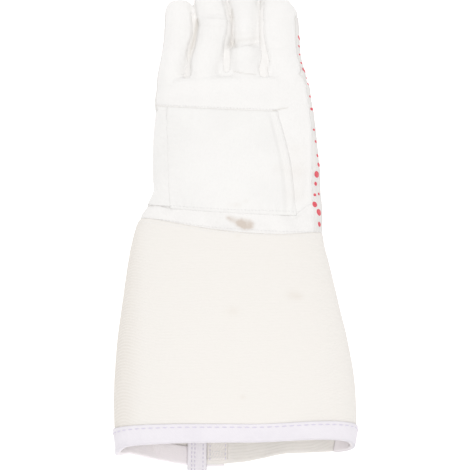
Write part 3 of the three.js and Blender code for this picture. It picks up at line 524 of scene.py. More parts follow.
class Skin:
    """A surface of triangles with its points, normals and values at the points."""

    def __init__(self, points, triangles, values=None):
        self.points = points
        self.triangles = triangles
        self.values = dict(values or {})

    def aim(self):
        """Works out smooth normals at the points."""
        corner = self.points[self.triangles]
        face = np.cross(corner[:, 1] - corner[:, 0], corner[:, 2] - corner[:, 0])
        normals = np.zeros_like(self.points)
        for k in range(3):
            np.add.at(normals, self.triangles[:, k], face)
        self.normals = unit(normals)

    def edges(self):
        pairs = np.concatenate([self.triangles[:, [0, 1]], self.triangles[:, [1, 2]],
                                self.triangles[:, [2, 0]]])
        return np.unique(np.sort(pairs, axis=1), axis=0)

    def tree(self):
        return tree_of(self.points, self.triangles.tolist())

    def part(self, field):
        """The part of the skin where the field is above zero, cut along its zero line."""
        field = np.where(np.abs(field) < 1e-4, 1e-4, field)
        names = list(self.values)
        stack = np.column_stack([self.points, self.normals, *[self.values[n] for n in names]])
        rows = list(stack)
        made = {}

        def crossing(a, b):
            key = (a, b) if a < b else (b, a)
            if key not in made:
                share = field[a] / (field[a] - field[b])
                made[key] = len(rows)
                rows.append(stack[a] + (stack[b] - stack[a]) * share)
            return made[key]

        inside = field > 0
        count = inside[self.triangles].sum(1)
        faces = self.triangles[count == 3].tolist()
        for triangle in self.triangles[(count > 0) & (count < 3)].tolist():
            while not (inside[triangle[0]] and not inside[triangle[2]]):
                triangle = triangle[1:] + triangle[:1]
            a, b, c = triangle
            if inside[b]:
                bc = crossing(b, c)
                faces += [[a, b, bc], [a, bc, crossing(a, c)]]
            else:
                faces.append([a, crossing(a, b), crossing(a, c)])
        used, faces = in_use(np.array(faces, int).reshape(-1, 3), len(rows))
        rows = np.array(rows)[used]
        part = Skin(rows[:, :3], faces, {n: rows[:, 6 + k] for k, n in enumerate(names)})
        part.normals = rows[:, 3:6]
        part.drop_crumbs()
        return part

    def drop_crumbs(self, least=60):
        """Takes away the loose bits of a few triangles that a cut leaves."""
        parent = np.arange(len(self.points))
        edges = self.edges()
        settled = False
        while not settled:
            low = np.minimum(parent[edges[:, 0]], parent[edges[:, 1]])
            before = parent.copy()
            np.minimum.at(parent, edges[:, 0], low)
            np.minimum.at(parent, edges[:, 1], low)
            parent = parent[parent]
            settled = (parent == before).all()
        group = parent[self.triangles[:, 0]]
        count = np.bincount(group, minlength=len(parent))
        used, self.triangles = in_use(self.triangles[count[group] >= least], len(self.points))
        self.points = self.points[used]
        self.normals = self.normals[used]
        self.values = {name: values[used] for name, values in self.values.items()}

    def shell(self, name, thickness):
        """A closed object with this skin outside and its copy inside."""
        count = len(self.points)
        inner = self.points - self.normals * thickness
        inner[:, 2] = np.maximum(inner[:, 2], 0.2)
        faces = self.triangles.tolist()
        pairs = dict.fromkeys(edge for a, b, c in faces for edge in ((a, b), (b, c), (c, a)))
        rim = [(b, a) for a, b in pairs if (b, a) not in pairs]
        faces += [[c + count, b + count, a + count] for a, b, c in faces]
        faces += [[a, b, b + count, a + count] for a, b in rim]
        obj = new_object(name, np.concatenate([self.points, inner]), faces)
        for key, values in self.values.items():
            add_value(obj, key, np.tile(values, 2))
        add_value(obj, "inside", np.repeat([0.0, 1.0], count))
        return obj


def grid_skin(points):
    """A skin through a grid of points."""
    faces = grid_faces(*points.shape[:2])
    triangles = [triangle for a, b, c, d in faces for triangle in ((a, b, c), (a, c, d))]
    return Skin(points.reshape(-1, 3), np.array(triangles))


# Lines that the photograph shows, carried onto a skin by the camera's rays

def on_skin(tree, pixels, step=1.0):
    """Places and normals about `step` millimetres apart where the pixels' line meets the skin."""
    line = [np.array(pixels[0], float)]
    for start, end in zip(pixels, pixels[1:]):
        start = np.array(start, float)
        end = np.array(end, float)
        pieces = max(1, int(np.linalg.norm(end - start) * MM_PER_PIXEL / step))
        line += [mix(start, end, (k + 1) / pieces) for k in range(pieces)]
    found = []
    for px, py in line:
        place, normal, _, _ = tree.ray_cast(Vector(EYE), Vector(ray(px, py)))
        if place is not None:
            found.append((np.array(place), np.array(normal)))
    return found


def rounded(pixels, rounds=2):
    """The line with its corners cut, so that it bends smoothly."""
    points = [np.array(p, float) for p in pixels]
    for _ in range(rounds):
        cut = [points[0]]
        for a, b in zip(points, points[1:]):
            cut += [mix(a, b, 0.25), mix(a, b, 0.75)]
        points = cut + [points[-1]]
    return [tuple(p) for p in points]


def beside(pixels, shift):
    """The line moved across its own direction, in pixels."""
    line = [np.array(p, float) for p in pixels]
    moved = []
    for k, p in enumerate(line):
        way = line[min(k + 1, len(line) - 1)] - line[max(k - 1, 0)]
        way /= max(np.linalg.norm(way), 1e-9)
        moved.append(tuple(p + shift * np.array([way[1], -way[0]])))
    return moved


def distance_to(points, line, reach=12):
    """Distance of each point to a line of points, and how far along it that is, 0 to 1."""
    best = np.full(len(points), 1e9)
    share = np.zeros(len(points))
    line = np.array(line)
    near = np.all((points > line.min(0) - reach) & (points < line.max(0) + reach), axis=1)
    close = points[near]
    best_near = best[near]
    share_near = share[near]
    for k, (a, b) in enumerate(zip(line, line[1:])):
        along = b - a
        t = clamp((close - a) @ along / max(along @ along, 1e-9), 0, 1)
        gap = np.linalg.norm(close - a - t[:, None] * along, axis=1)
        nearer = gap < best_near
        best_near = np.where(nearer, gap, best_near)
        share_near = np.where(nearer, (k + t) / (len(line) - 1), share_near)
    best[near] = best_near
    share[near] = share_near
    return best, share


# Hand: one skin over palm, fingers and thumb, cut along its seams afterwards

VOXEL = 1.1
LAP_DEPTH = 2.0               # how far the hand lies under the gauntlet's cloth
LAP_EDGE = 0.9                # and at the seam itself
LAP_RISE = 3.2                # it comes up to the surface over this length
LAP_STEPS = [-8, -2, -1.2, -0.8, -0.4, 0.0, 0.4, 0.8, 1.2]
# Length of each web, how far it lies under the fingers at the root and how fast it sinks
WEBS = ((58, 2.0, 0.13), (66, 2.0, 0.12), (60, 1.0, 0.05))
WEB_START = 8                 # this far before the root
WEB_REACH = 5                 # it reaches this far into the fingers beside it


def palm_rings():
    front = HAND_TABLE.along[-1] * HAND_LENGTH
    distance = np.concatenate([LAP_STEPS, np.arange(1.6, front, 1.5), [front]])[:, None]
    angle = turns(150)
    offset = -mix(LAP_DEPTH, LAP_EDGE, ease(-1.2, 0.3, distance)) * (1 - ease(0, LAP_RISE, distance))
    bow = 1 - ease(0, 0.5 * HAND_LENGTH, distance)
    y = distance + 0 * angle
    for _ in range(4):
        x, z = section_point(body_section(y), angle, offset)
        y = distance + bow * seam_y(x)
    return np.stack([x, y, z], 2)


def finger_rings(finger):
    rows = int(finger.length * (1 - finger.start))
    along = np.linspace(finger.start, 1, rows)[:, None] + 0 * turns(60)
    x, z = section_point(finger.section(along), turns(60), 0.0)
    return np.stack([x, finger.root + along * finger.length, z], 2)


def web_rings(left, right, length, drop, fall):
    """A low bridge of leather between two fingers, high at their root."""
    y = np.linspace(HAND_LENGTH - WEB_START, HAND_LENGTH + length, 30)[:, None]
    one = left.section((y - HAND_LENGTH) / left.length)
    two = right.section((y - HAND_LENGTH) / right.length)
    end = ease(HAND_LENGTH + length, HAND_LENGTH + length - 7, y)
    top = np.minimum(one["top"], two["top"]) - drop - fall * (y - HAND_LENGTH + WEB_START)
    low = np.maximum(one["underLeft"], two["underLeft"]) + 5
    section = plain_section(one["right"] - WEB_REACH, two["left"] + WEB_REACH, top, low)
    section["top"] = mix(mix(low, top, 0.6), top, end)
    x, z = section_point(section, turns(32), 0.0)
    return np.stack([x, y + 0 * x, z], 2)


def fused(all_rings):
    """One skin round all the tubes, each given as its rings."""
    points = []
    faces = []
    for rings in all_rings:
        shift = sum(len(p) for p in points)
        points.append(rings.reshape(-1, 3))
        faces += [[shift + i for i in face] for face in tube_faces(*rings.shape[:2])]
    obj = new_object("blank", np.concatenate(points), faces)
    modifier = obj.modifiers.new("fuse", "REMESH")
    modifier.mode = "VOXEL"
    modifier.voxel_size = VOXEL * MM
    mesh = bpy.data.meshes.new_from_object(obj.evaluated_get(bpy.context.evaluated_depsgraph_get()))
    mesh.calc_loop_triangles()
    places = np.empty(len(mesh.vertices) * 3)
    mesh.vertices.foreach_get("co", places)
    triangles = np.empty(len(mesh.loop_triangles) * 3, np.int32)
    mesh.loop_triangles.foreach_get("vertices", triangles)
    skin = Skin(places.reshape(-1, 3) / MM - PLACE, triangles.reshape(-1, 3).astype(int))
    bpy.data.meshes.remove(mesh)
    bpy.data.objects.remove(obj, do_unlink=True)
    return skin


def hand_blank():
    all_rings = [palm_rings()] + [finger_rings(finger) for finger in [*FINGERS, THUMB]]
    all_rings += [web_rings(a, b, *web) for a, b, web in zip(FINGERS, FINGERS[1:], WEBS)]
    skin = fused(all_rings)
    skin.points = smoothed(skin.points, skin.edges(), 6)
    skin.points[:, 2] = np.maximum(skin.points[:, 2], 0)
    skin.aim()
    return skin


# Seam fields on the hand: above zero on one side of the seam, and about its distance away

SIDE_SEAM = Table("along height", [
    (-0.20, 0.50), (0.15, 0.52), (0.45, 0.59), (1.00, 0.61), (1.15, 0.52), (1.29, 0.42),
    (1.44, 0.31), (1.60, 0.25), (1.90, 0.22)])
WRAP = Table("along inset", [
    (-0.20, 7.5), (0.20, 6.8), (0.45, 6.0), (0.65, 3.4), (1.00, 2.6)])
UNDER_WRAP = 10               # the palm leather reaches this much further in, under the hand
BAND_EDGE = Table("across along", [
    (-1.60, 0.31), (-1.07, 0.235), (-0.78, 0.155), (0.05, 0.11), (0.69, 0.112),
    (0.92, 0.19), (1.60, 0.22)])
STRIP_HALF = 6.3              # half the height of the strips between the fingers
STRIP_END = 14                # they end this far before the fingertips
# Each strip: how far it reaches onto the left and the right finger, where it starts past the
# root, and half its width there
STRIPS = {
    "strip_little_ring": (3.3, 0.6, -2.0, 2.3),
    "strip_ring_middle": (3.6, 0.5, 3.0, 2.4),
    "strip_middle_index": (0.5, 5.0, -3.5, 3.3),
}


def side_seam(y):
    return SIDE_SEAM("height", y / HAND_LENGTH) * KNUCKLE_HEIGHT


def wrap_line(y):
    """x of the seam where the palm leather ends on the thumb side."""
    inset = WRAP("inset", y / HAND_LENGTH)
    index = INDEX.section((y - HAND_LENGTH) / INDEX.length)["right"]
    return mix(BODY("right", y), index, ease(HAND_LENGTH - 8, HAND_LENGTH + 10, y)) - inset


def palm_field(points):
    x, y, z = points.T
    wrap = x - wrap_line(y)
    under = np.minimum(wrap + UNDER_WRAP, BODY("sideRight", 0.8 * HAND_LENGTH + 0 * y) - z)
    under = under - 40 * ease(HAND_LENGTH - 2, HAND_LENGTH + 12, y)
    wrap = wrap - 16 * ease(0.66, 0.95, (y - INDEX.root) / INDEX.length)
    return np.maximum(side_seam(y) - z, np.maximum(wrap, under))


def strip_field(points, left, right, onto_left, onto_right, start, half):
    """The strip between two fingers, which shows on the back beside one of them."""
    x, y, z = points.T
    along = y - HAND_LENGTH
    left_edge = left.section(along / left.length)["right"]
    right_edge = right.section(along / right.length)["left"]
    gap = (left_edge + right_edge) / 2
    if onto_left > onto_right:
        onto_left = onto_left * mix(0.25, 1.0, ease(12, 34, along))
    inner = np.minimum(x - left_edge + onto_left, right_edge + onto_right - x)
    inner = mix(inner, half - np.abs(x - gap), 1 - ease(4, 17, along))
    begin = start + 0.3 * (x - gap) ** 2 * (1 - ease(5, 13, along))
    end = np.where(x < gap, left.length, right.length) - STRIP_END
    middle = np.minimum(x - left.middle(y), right.middle(y) - x)
    side = np.minimum(z - side_seam(y) + STRIP_HALF, np.minimum(inner, middle))
    return np.minimum(side, np.minimum(along - begin, end - along))


def thumb_field(points):
    x, y, z = points.T
    section = THUMB.section(clamp((y - THUMB.root) / THUMB.length, 0, 1))
    across = np.minimum(x - section["left"], section["right"] - x) + 1.5
    return np.minimum(np.minimum(across, y - THUMB.root), THUMB_HEIGHT + 0.4 - z)


def band_field(points):
    x, y, _ = points.T
    return BAND_EDGE("along", x / (HAND_WIDTH / 2)) * HAND_LENGTH - y


def seam_fields(points):
    """For each piece of the hand, a field above zero where the piece is."""
    thumb = thumb_field(points)
    pairs = zip(STRIPS, FINGERS, FINGERS[1:])
    strips = {name: strip_field(points, a, b, *STRIPS[name]) for name, a, b in pairs}
    palm = palm_field(points)
    band = band_field(points)
    rest = np.minimum(-thumb, -np.maximum.reduce(list(strips.values())))
    fields = {name: np.minimum(strip, -thumb) for name, strip in strips.items()}
    fields["leather_thumb"] = thumb
    fields["leather_palm"] = np.minimum(palm, rest)
    fields["band_wrist"] = np.minimum.reduce([band, -palm, rest])
    fields["leather_back"] = np.minimum.reduce([-band, -palm, rest])
    return fields


# Pads on the back of the hand: grids over places in the photograph's view

BACK_PAD_LOW = [(170.4, 208.6), (296.2, 215.6)]
BACK_PAD_HIGH = [(167.6, 106.8), (277.8, 111.4)]
BACK_PAD_BOW = 4.6            # how far the rolled edge bows to the right, in pixels
SIDE_SEAM_PIXELS = ([170.6, 167.8], [207.5, 106.6])
SIDE_PAD_LOW = (0.163, 0.262)     # the side pad's two ends along the hand, at its two edges
SIDE_PAD_HIGH = (0.782, 0.846)
SWELL_ACROSS = Table("along swell", [
    (0.00, 0.36), (0.015, 0.43), (0.05, 0.54), (0.14, 0.74), (0.45, 0.90), (0.72, 0.82),
    (0.88, 0.58), (0.928, 0.12), (0.955, 0.52), (0.976, 0.31), (1.00, -0.26)])
SWELL_ALONG = Table("along swell", [
    (0.00, -0.16), (0.018, 0.20), (0.05, 0.42), (0.16, 0.86), (0.40, 1.00), (0.80, 1.00),
    (0.92, 0.78), (0.97, 0.48), (0.99, 0.20), (1.00, -0.05)])
SIDE_SWELL_ACROSS = Table("along swell", [
    (0, 0.66), (0.04, 0.67), (0.14, 0.68), (0.84, 0.64), (0.97, 0.28), (1, -0.02)])
SIDE_SWELL_ALONG = Table("along swell", [
    (0, 0.20), (0.03, 0.34), (0.14, 0.64), (0.84, 0.64), (0.97, 0.28), (1, -0.02)])


def top_place(px, py):
    """Where pixels of the photograph meet the back of the hand or the gauntlet."""
    rays = np.array([ray(a, b) for a, b in zip(np.ravel(px), np.ravel(py))])
    z = np.full(len(rays), 40.0)
    for _ in range(12):
        x = EYE[0] + rays[:, 0] * (z - EYE[2]) / rays[:, 2]
        y = EYE[1] + rays[:, 1] * (z - EYE[2]) / rays[:, 2]
        section = body_section(y)
        _, height = section_point(section, angle_at(section, x, True), 0.0)
        z = 0.5 * z + 0.5 * height
    return x, y


def top_height(x, y, offset):
    """Points on the body's top over x and y, moved out by the offset."""
    section = body_section(y)
    angle = angle_at(section, x, True)
    base_x, base_z = section_point(section, angle, 0.0)
    out_x, out_z = section_point(section, angle, 1.0)
    slope = body_section(y + 1.0)
    _, ahead = section_point(slope, angle_at(slope, x, True), 0.0)
    normal = np.stack([out_x - base_x, -(ahead - base_z), np.maximum(out_z - base_z, 0.05)], -1)
    return np.stack([base_x, y, base_z], -1) + unit(normal) * np.asarray(offset)[..., None]


def back_pad_plan(s, t):
    """x and y over shares across and along the back pad."""
    px, py = [mix(mix(BACK_PAD_LOW[0][k], BACK_PAD_LOW[1][k], s),
                  mix(BACK_PAD_HIGH[0][k], BACK_PAD_HIGH[1][k], s), t) for k in (0, 1)]
    py = py + 4 * s * (1 - s) * (1 - t)
    px = px + BACK_PAD_BOW * np.sin(math.pi * t) * ease(0.6, 1.0, s)
    x, y = top_place(px, py)
    return x.reshape(s.shape), y.reshape(s.shape)


def side_pad_grid(s, t, offset):
    """Points of the side pad: s from the seam between the pads over the edge of the hand."""
    y = HAND_LENGTH * mix(mix(*SIDE_PAD_LOW, s), mix(*SIDE_PAD_HIGH, s), t)
    section = body_section(y)
    seam_x, seam_at = top_place(*SIDE_SEAM_PIXELS)
    seam = np.interp(y, seam_at, seam_x)
    angle = mix(angle_at(section, seam, True), math.pi + 0.42, s)
    x, z = section_point(section, angle, offset)
    return np.stack([x, y, z], -1)


def pad_shares(columns, rows):
    """Shares across and along a pad, and the steps to its nearest edge."""
    s, t = np.meshgrid(np.linspace(0, 1, columns), np.linspace(0, 1, rows))
    edge = np.minimum(np.minimum(s, 1 - s) * columns, np.minimum(t, 1 - t) * rows)
    return s, t, edge


def pad_offset(thickness, swell, wave, edge, pucker):
    """How far a pad stands out: its swell, soft waves and the puckers along its seams."""
    return thickness * swell + GAP + wave.reshape(swell.shape) * ease(1, 10, edge) + pucker


def back_pad():
    """The padded panel: a quilted field, a valley and a rolled edge on the thumb side."""
    s, t, edge = pad_shares(150, 104)
    x, y = back_pad_plan(s, t)
    swell = SWELL_ACROSS("swell", s) * SWELL_ALONG("swell", t)
    flat = np.stack([x.ravel(), y.ravel(), 0 * x.ravel()], 1)
    wave = 0.35 * field_noise(flat, 24, 7) + 0.12 * field_noise(flat, 9, 8)
    pucker = np.sin((t * 75) * 2 * math.pi / 6.0 + 3 * np.sin(t * 9)) * bell(s - 0.055, 0.045)
    pucker += np.sin((s * 90) * 2 * math.pi / 6.5 + 3 * np.sin(s * 7)) * bell(t - 0.05, 0.05)
    offset = pad_offset(PAD, swell, wave, edge, 0.16 * pucker)
    top = top_height(x, y, offset)
    low = top_height(x, y, np.minimum(-0.9, offset - 0.25))
    rim = bell(edge, 2.0) * np.where(s > 0.97, 0.0, np.where((t < 0.03) | (s < 0.03), 0.35, 1))
    # painted shade in the valley beside the rolled edge, and darker seams along the rim
    shade_and_dark_seams = np.maximum(0.22 * bell(s - 0.926, 0.017) * (1 - 0.5 * t), 0.12 * rim)
    values = {"shade_and_dark_seams": shade_and_dark_seams, "stain_and_shade": spots(top.reshape(-1, 3), HAND_STAINS_AND_SHADE)}
    keep("pad_back", slab_object("pad_back", top, low, values=values), PAD_LEATHER)
    return grid_skin(top)


def side_pad():
    s, t, edge = pad_shares(60, 110)
    along = SIDE_SWELL_ALONG("swell", t)
    swell = SIDE_SWELL_ACROSS("swell", s) * np.where(along < 0, 1, along)
    swell = np.where(along < 0, np.minimum(swell, along), swell)
    base = side_pad_grid(s, t, 0.0).reshape(-1, 3)
    wave = 0.3 * field_noise(base, 20, 9) + 0.1 * field_noise(base, 8, 10)
    pucker = np.sin(t * 78 * 2 * math.pi / 6.0) * bell(s - 0.08, 0.06)
    offset = pad_offset(SIDE_PAD, swell, wave, edge, 0.14 * pucker)
    top = side_pad_grid(s, t, offset)
    low = side_pad_grid(s, t, np.minimum(-0.9, offset - 0.25))
    # a little darker along the pad's edges and seams
    values = {"shade_and_dark_seams": 0.05 * bell(edge, 2.0), "stain_and_shade": 0 * s}
    keep("pad_side", slab_object("pad_side", top, low, values=values), PAD_LEATHER)


# Gauntlet: one piece of cloth round the forearm, with a slit under it

OUTER_FLAP_END = -8           # free edge of the flap that lies outside
INNER_FLAP_END = -33          # free edge of the flap that lies inside
FLAP_RAMP = 14                # run over which the inner flap climbs onto the outer one
FLAP_LEAD = 4                 # the climb begins this far before the ramp's length from the edge
HEM_ZONE = (0.80, 0.90)       # where the layers make room for the hem tape
STACK_ALONG = CLOTH + TAPE + 2 * GAP + 0.4
STACK_AT_HEM = CLOTH + 2 * (TAPE + GAP) + GAP + 0.6
BINDING_WIDTH = 11.5
HEM_TAPE_END = 0.792
HEM_PUFF = 0.35               # how far the tape puffs up beside its stitches
HEM_STITCH = 9.2              # how far above the hem its stitches run
SLIT_TOP = 0.09
SLIT_TAPE_WIDTH = 13
TAB_LENGTH = 6
FACING_WIDTH = 14.5
FACING_END = 0.985
FACING_START = SLIT_TAPE_WIDTH + GAP
ZIGZAG_LOW = 0.978            # share of the gauntlet's length where the crossed stitches end
ZIGZAG_HEIGHT = 5.5
ZIGZAG_TURNS = 6
CUFF_COLUMNS = 300
CUFF_ROWS = 118
RIB_RISE = 11                 # the ribs climb by this much towards the sides


def cloth_ground(v):
    return (TAPE + GAP) * ease(*HEM_ZONE, v)


def flap_lift(v):
    return mix(STACK_ALONG, STACK_AT_HEM, ease(*HEM_ZONE, v))


def cuff_grid(u, v, offset):
    """Points of the gauntlet: u round it between the flaps' edges, v from wrist seam to hem."""
    u = np.asarray(u, float)
    v = np.asarray(v, float) + 0 * u
    y = -v * CUFF_LENGTH
    for _ in range(4):
        section = body_section(y)
        start = angle_at(section, OUTER_FLAP_END, False)
        end = angle_at(section, INNER_FLAP_END, False) - 2 * math.pi
        angle = mix(start, end, u)
        x, z = section_point(section, angle, offset, cloth_ground(v))
        over = ease(-0.4, 0.4, np.sin(angle))
        corner = CORNER_DIP * ease(-0.86, -1.0, 2 * x / CUFF_WIDTH) * ease(0.925, 1.0, v)
        y = mix(seam_y(x), mix(hem_y(x, False), hem_y(x, True), over), v) - corner
    begin = OUTER_FLAP_END + FLAP_RAMP + FLAP_LEAD
    climb = flap_lift(v) * (1 - ease(begin - FLAP_RAMP, begin, x))
    z = z + np.where((u > 0.5) & (z < WRIST_HEIGHT / 3), climb, 0)
    return np.stack([x, y, z], -1)


def cuff_waves(x, y):
    """Soft waves of the cloth, in millimetres."""
    flat = np.stack([np.ravel(x), np.ravel(y), 0 * np.ravel(x)], 1)
    broad = field_noise(flat * np.array([1.0, 0.7, 1.0]), 42, 1)
    middle = field_noise(flat * np.array([0.8, 1.6, 1.0]), 17, 2)
    return (0.55 * broad + 0.16 * middle).reshape(np.shape(x))


def gauntlet():
    v = np.linspace(0, 1, CUFF_ROWS)[:, None]
    u = np.linspace(0, 1, CUFF_COLUMNS)[None, :]
    outer = cuff_grid(u + 0 * v, v + 0 * u, 0.0)
    inner = cuff_grid(u + 0 * v, v + 0 * u, -CLOTH)
    turned = np.where(v < 0.5, 0.95 * (1 - ease(0, 0.02, v)) ** 2, 0)
    outer = outer - (outer - inner) / CLOTH * (turned + 0 * u)[..., None]
    wave = cuff_waves(outer[..., 0], outer[..., 1]) * ease(2, 9, outer[..., 2])
    wave = wave * ease(0, 0.06, v) * (1 - ease(0.9, 0.97, v))
    move = unit(outer - inner) * wave[..., None]
    outer = outer + move
    inner = inner + move
    x = outer[..., 0]
    across = lengths_along(outer, 1)
    across = across - across[:, CUFF_COLUMNS // 2][:, None]
    along = lengths_along(outer, 0)
    along = along - along[-1] + RIB_RISE * ((1 - ease(-86, -52, x)) + ease(52, 86, x))
    values = {"side": 1 - ease(-82, -62, x), "stain_and_shade": spots(outer.reshape(-1, 3), CUFF_STAINS)}
    keep("gauntlet", slab_object("gauntlet", outer, inner, (across, along), values), CUFF_CLOTH)
    return grid_skin(outer)


def folded_tape(width, steps, past, outer_fold, inner_fold):
    """A tape folded over the cloth's edge: distance past the edge and offset, all the way round.

    past is 1 or -1, the side on which the cloth's edge lies. A fold is its depth and its shift.
    """
    out = GAP + TAPE
    under = -CLOTH - GAP - TAPE
    middle = (out + under) / 2
    half = (out - under) / 2
    turn = np.linspace(math.pi / 2, -math.pi / 2, 9)
    flat = np.linspace(-past * width, 0, steps)
    profile = [(d, out) for d in flat[:-1]]
    profile += [(past * outer_fold[0] * half * math.cos(a) + outer_fold[1],
                 middle + half * math.sin(a)) for a in turn]
    profile += [(d, under) for d in flat[::-1][1:]]
    profile += [(d, under + TAPE) for d in flat[:-1]]
    profile += [(past * inner_fold[0] * math.cos(a) + inner_fold[1],
                 middle + (half - TAPE) * math.sin(a)) for a in -turn]
    profile += [(d, GAP) for d in flat[::-1][1:]]
    return np.array(profile), middle


def hem_tape():
    steps = 14
    profile, _ = folded_tape(BINDING_WIDTH, steps, 1, (0.35, 0.1), (0.2, 0.05))
    u = np.linspace(0, HEM_TAPE_END, 300)[:, None]
    distance, offset = profile.T[:, None, :]
    points = cuff_grid(u + 0 * distance, 1 + distance / CUFF_LENGTH, offset + 0 * u)
    puff = bell(distance + 3.4, 2.4) + 0.6 * bell(distance + 9.2, 1.5)
    run = lengths_along(points, 0)
    pucker = 0.6 + 0.4 * np.sin(run * 2 * math.pi / 5.2 + 2 * np.sin(run / 31))
    swell = HEM_PUFF * puff * pucker * (np.arange(len(profile)) < steps - 1)
    points[..., 2] += swell * np.where(points[..., 2] > 10, 1, -0.2)
    points[..., 2] = np.maximum(points[..., 2], 0)
    inside = ease(-0.2, -CLOTH, offset)
    keep("tape_hem", ribbon_object("tape_hem", points, run, lengths_along(profile, 0), inside),
         HEM_TWILL)


def flap_grid(inside, v, offset):
    """Points beside the inner flap's free edge."""
    x = INNER_FLAP_END + inside + 0 * v
    y = mix(seam_y(x), hem_y(x, False), v)
    z = cloth_ground(v) + flap_lift(v) - offset
    return np.stack([x, y, z + 0 * x], -1)


def slit_tape():
    profile, middle = folded_tape(SLIT_TAPE_WIDTH, 12, -1, (0.35, 0), (0.1, 0))
    end = 1 + TAB_LENGTH / (CUFF_LENGTH + FLAP_DIP)
    v = np.linspace(SLIT_TOP, end, 130)[:, None]
    inside, offset = profile.T
    points = flap_grid(inside[None, :], v, offset[None, :])
    puff = bell(inside - 3.2, 2.0) + bell(inside - 9.6, 2.2)
    points[..., 2] += np.where(offset < middle, 0.35 * puff, 0)[None, :]
    across = lengths_along(profile, 0)
    obj = ribbon_object("tape_slit", points, across, lengths_along(points, 0), 0.0)
    keep("tape_slit", obj, SLIT_TWILL_PAINTED_LIGHTER)


def slit_facing():
    v = np.linspace(SLIT_TOP, FACING_END, 120)[:, None]
    inside = np.linspace(FACING_START, FACING_START + FACING_WIDTH, 14)[None, :]
    swell = 0.2 * np.sin(math.pi * (inside - inside.min()) / FACING_WIDTH)
    low = flap_grid(inside, v, -CLOTH - GAP + 0 * v)
    high = flap_grid(inside, v, -CLOTH - GAP - TAPE - swell)
    weave = (inside + 0 * v, v * CUFF_LENGTH + 0 * inside)
    keep("strip_facing", slab_object("strip_facing", high, low, weave), FACING_CLOTH)


# Stitches and dots: small shapes set along a line or on points by Geometry Nodes

def nodes_tree(name, inputs):
    """A geometry tree with named inputs; gives the tree and its input node."""
    tree = bpy.data.node_groups.new(name, "GeometryNodeTree")
    for label, kind in [("Geometry", "Geometry"), *inputs, ("Material", "Material")]:
        tree.interface.new_socket(label, in_out="INPUT", socket_type="NodeSocket" + kind)
    tree.interface.new_socket("Geometry", in_out="OUTPUT", socket_type="NodeSocketGeometry")
    return tree, tree.nodes.new("NodeGroupInput").outputs


def tree_node(tree, kind, settings=None, links=None):
    node = tree.nodes.new(kind)
    for key, value in (settings or {}).items():
        setattr(node, key, value)
    for key, value in (links or {}).items():
        socket = node.inputs[key]
        if isinstance(value, bpy.types.NodeSocket):
            tree.links.new(value, socket)
        else:
            socket.default_value = value
    return node


def named_value(tree, name, kind):
    node = tree_node(tree, "GeometryNodeInputNamedAttribute", {"data_type": kind}, {"Name": name})
    return node.outputs["Attribute"]


def grow_balls(tree, given, points, sides, turn, size):
    """Ends the tree: a ball on each point, turned and sized, as one smooth mesh."""
    ball = tree_node(tree, "GeometryNodeMeshUVSphere", links={
        "Segments": sides[0], "Rings": sides[1], "Radius": 0.5})
    scale = tree_node(tree, "ShaderNodeCombineXYZ", links=dict(zip("XYZ", size)))
    node = tree_node(tree, "GeometryNodeInstanceOnPoints", links={
        "Points": points, "Instance": ball.outputs["Mesh"], "Rotation": turn.outputs[0],
        "Scale": scale.outputs[0]})
    for kind, links in (("RealizeInstances", {}), ("SetShadeSmooth", {}),
                        ("SetMaterial", {"Material": given["Material"]})):
        node = tree_node(tree, "GeometryNode" + kind, links={"Geometry": node.outputs[0], **links})
    out = tree.nodes.new("NodeGroupOutput")
    tree.links.new(node.outputs[0], out.inputs[0])


def stitch_tree():
    """A rounded stitch of thread at even steps along each line."""
    sizes = ("Length", "Width", "Height")
    tree, given = nodes_tree("stitches", [(name, "Float") for name in ("Pitch", *sizes)])
    line = tree_node(tree, "GeometryNodeMeshToCurve", links={"Mesh": given["Geometry"]})
    steps = tree_node(tree, "GeometryNodeResampleCurve", {"mode": "LENGTH"},
                      {"Curve": line.outputs[0], "Length": given["Pitch"]})
    tangent = tree_node(tree, "GeometryNodeInputTangent").outputs[0]
    turn = tree_node(tree, "FunctionNodeAxesToRotation",
                     {"primary_axis": "X", "secondary_axis": "Z"},
                     {"Primary Axis": tangent, "Secondary Axis": named_value(tree, "up", "FLOAT_VECTOR")})
    grow_balls(tree, given, steps.outputs[0], (8, 5), turn, [given[name] for name in sizes])
    return tree


def dot_tree():
    """A low round dot of rubber on each point."""
    tree, given = nodes_tree("dots", [("Rise", "Float")])
    size = named_value(tree, "size", "FLOAT")
    turn = tree_node(tree, "FunctionNodeAlignRotationToVector", {"axis": "Z"},
                     {"Vector": named_value(tree, "up", "FLOAT_VECTOR")})
    grow_balls(tree, given, given["Geometry"], (14, 6), turn, (size, size, given["Rise"]))
    return tree


def carrier(name, lines, sizes=None):
    """A mesh of lines, or of points with sizes, with the direction away from the skin at each."""
    points = []
    ups = []
    edges = []
    for line in lines:
        start = len(points)
        points += [place for place, _ in line]
        ups += [up for _, up in line]
        edges += [(start + k, start + k + 1) for k in range(len(line) - 1)]
    mesh = bpy.data.meshes.new(name)
    mesh.from_pydata(in_frame(points).tolist(), edges if sizes is None else [], [])
    mesh.attributes.new("up", "FLOAT_VECTOR", "POINT").data.foreach_set(
        "vector", np.array(ups, np.float32).ravel())
    obj = add_object(name, mesh)
    if sizes is not None:
        add_value(obj, "size", np.array(sizes) * MM)
    return obj


def grown(obj, tree, inputs):
    """The plain mesh that the tree makes from the object."""
    modifier = obj.modifiers.new("grow", "NODES")
    modifier.node_group = tree
    for item in tree.interface.items_tree:
        if item.in_out == "INPUT" and item.name in inputs:
            modifier[item.identifier] = inputs[item.name]
    evaluated = obj.evaluated_get(bpy.context.evaluated_depsgraph_get())
    mesh = bpy.data.meshes.new_from_object(evaluated)
    obj.modifiers.clear()
    for key in ("up", "size"):
        if key in mesh.attributes:
            mesh.attributes.remove(mesh.attributes[key])
    obj.data = mesh
    return obj


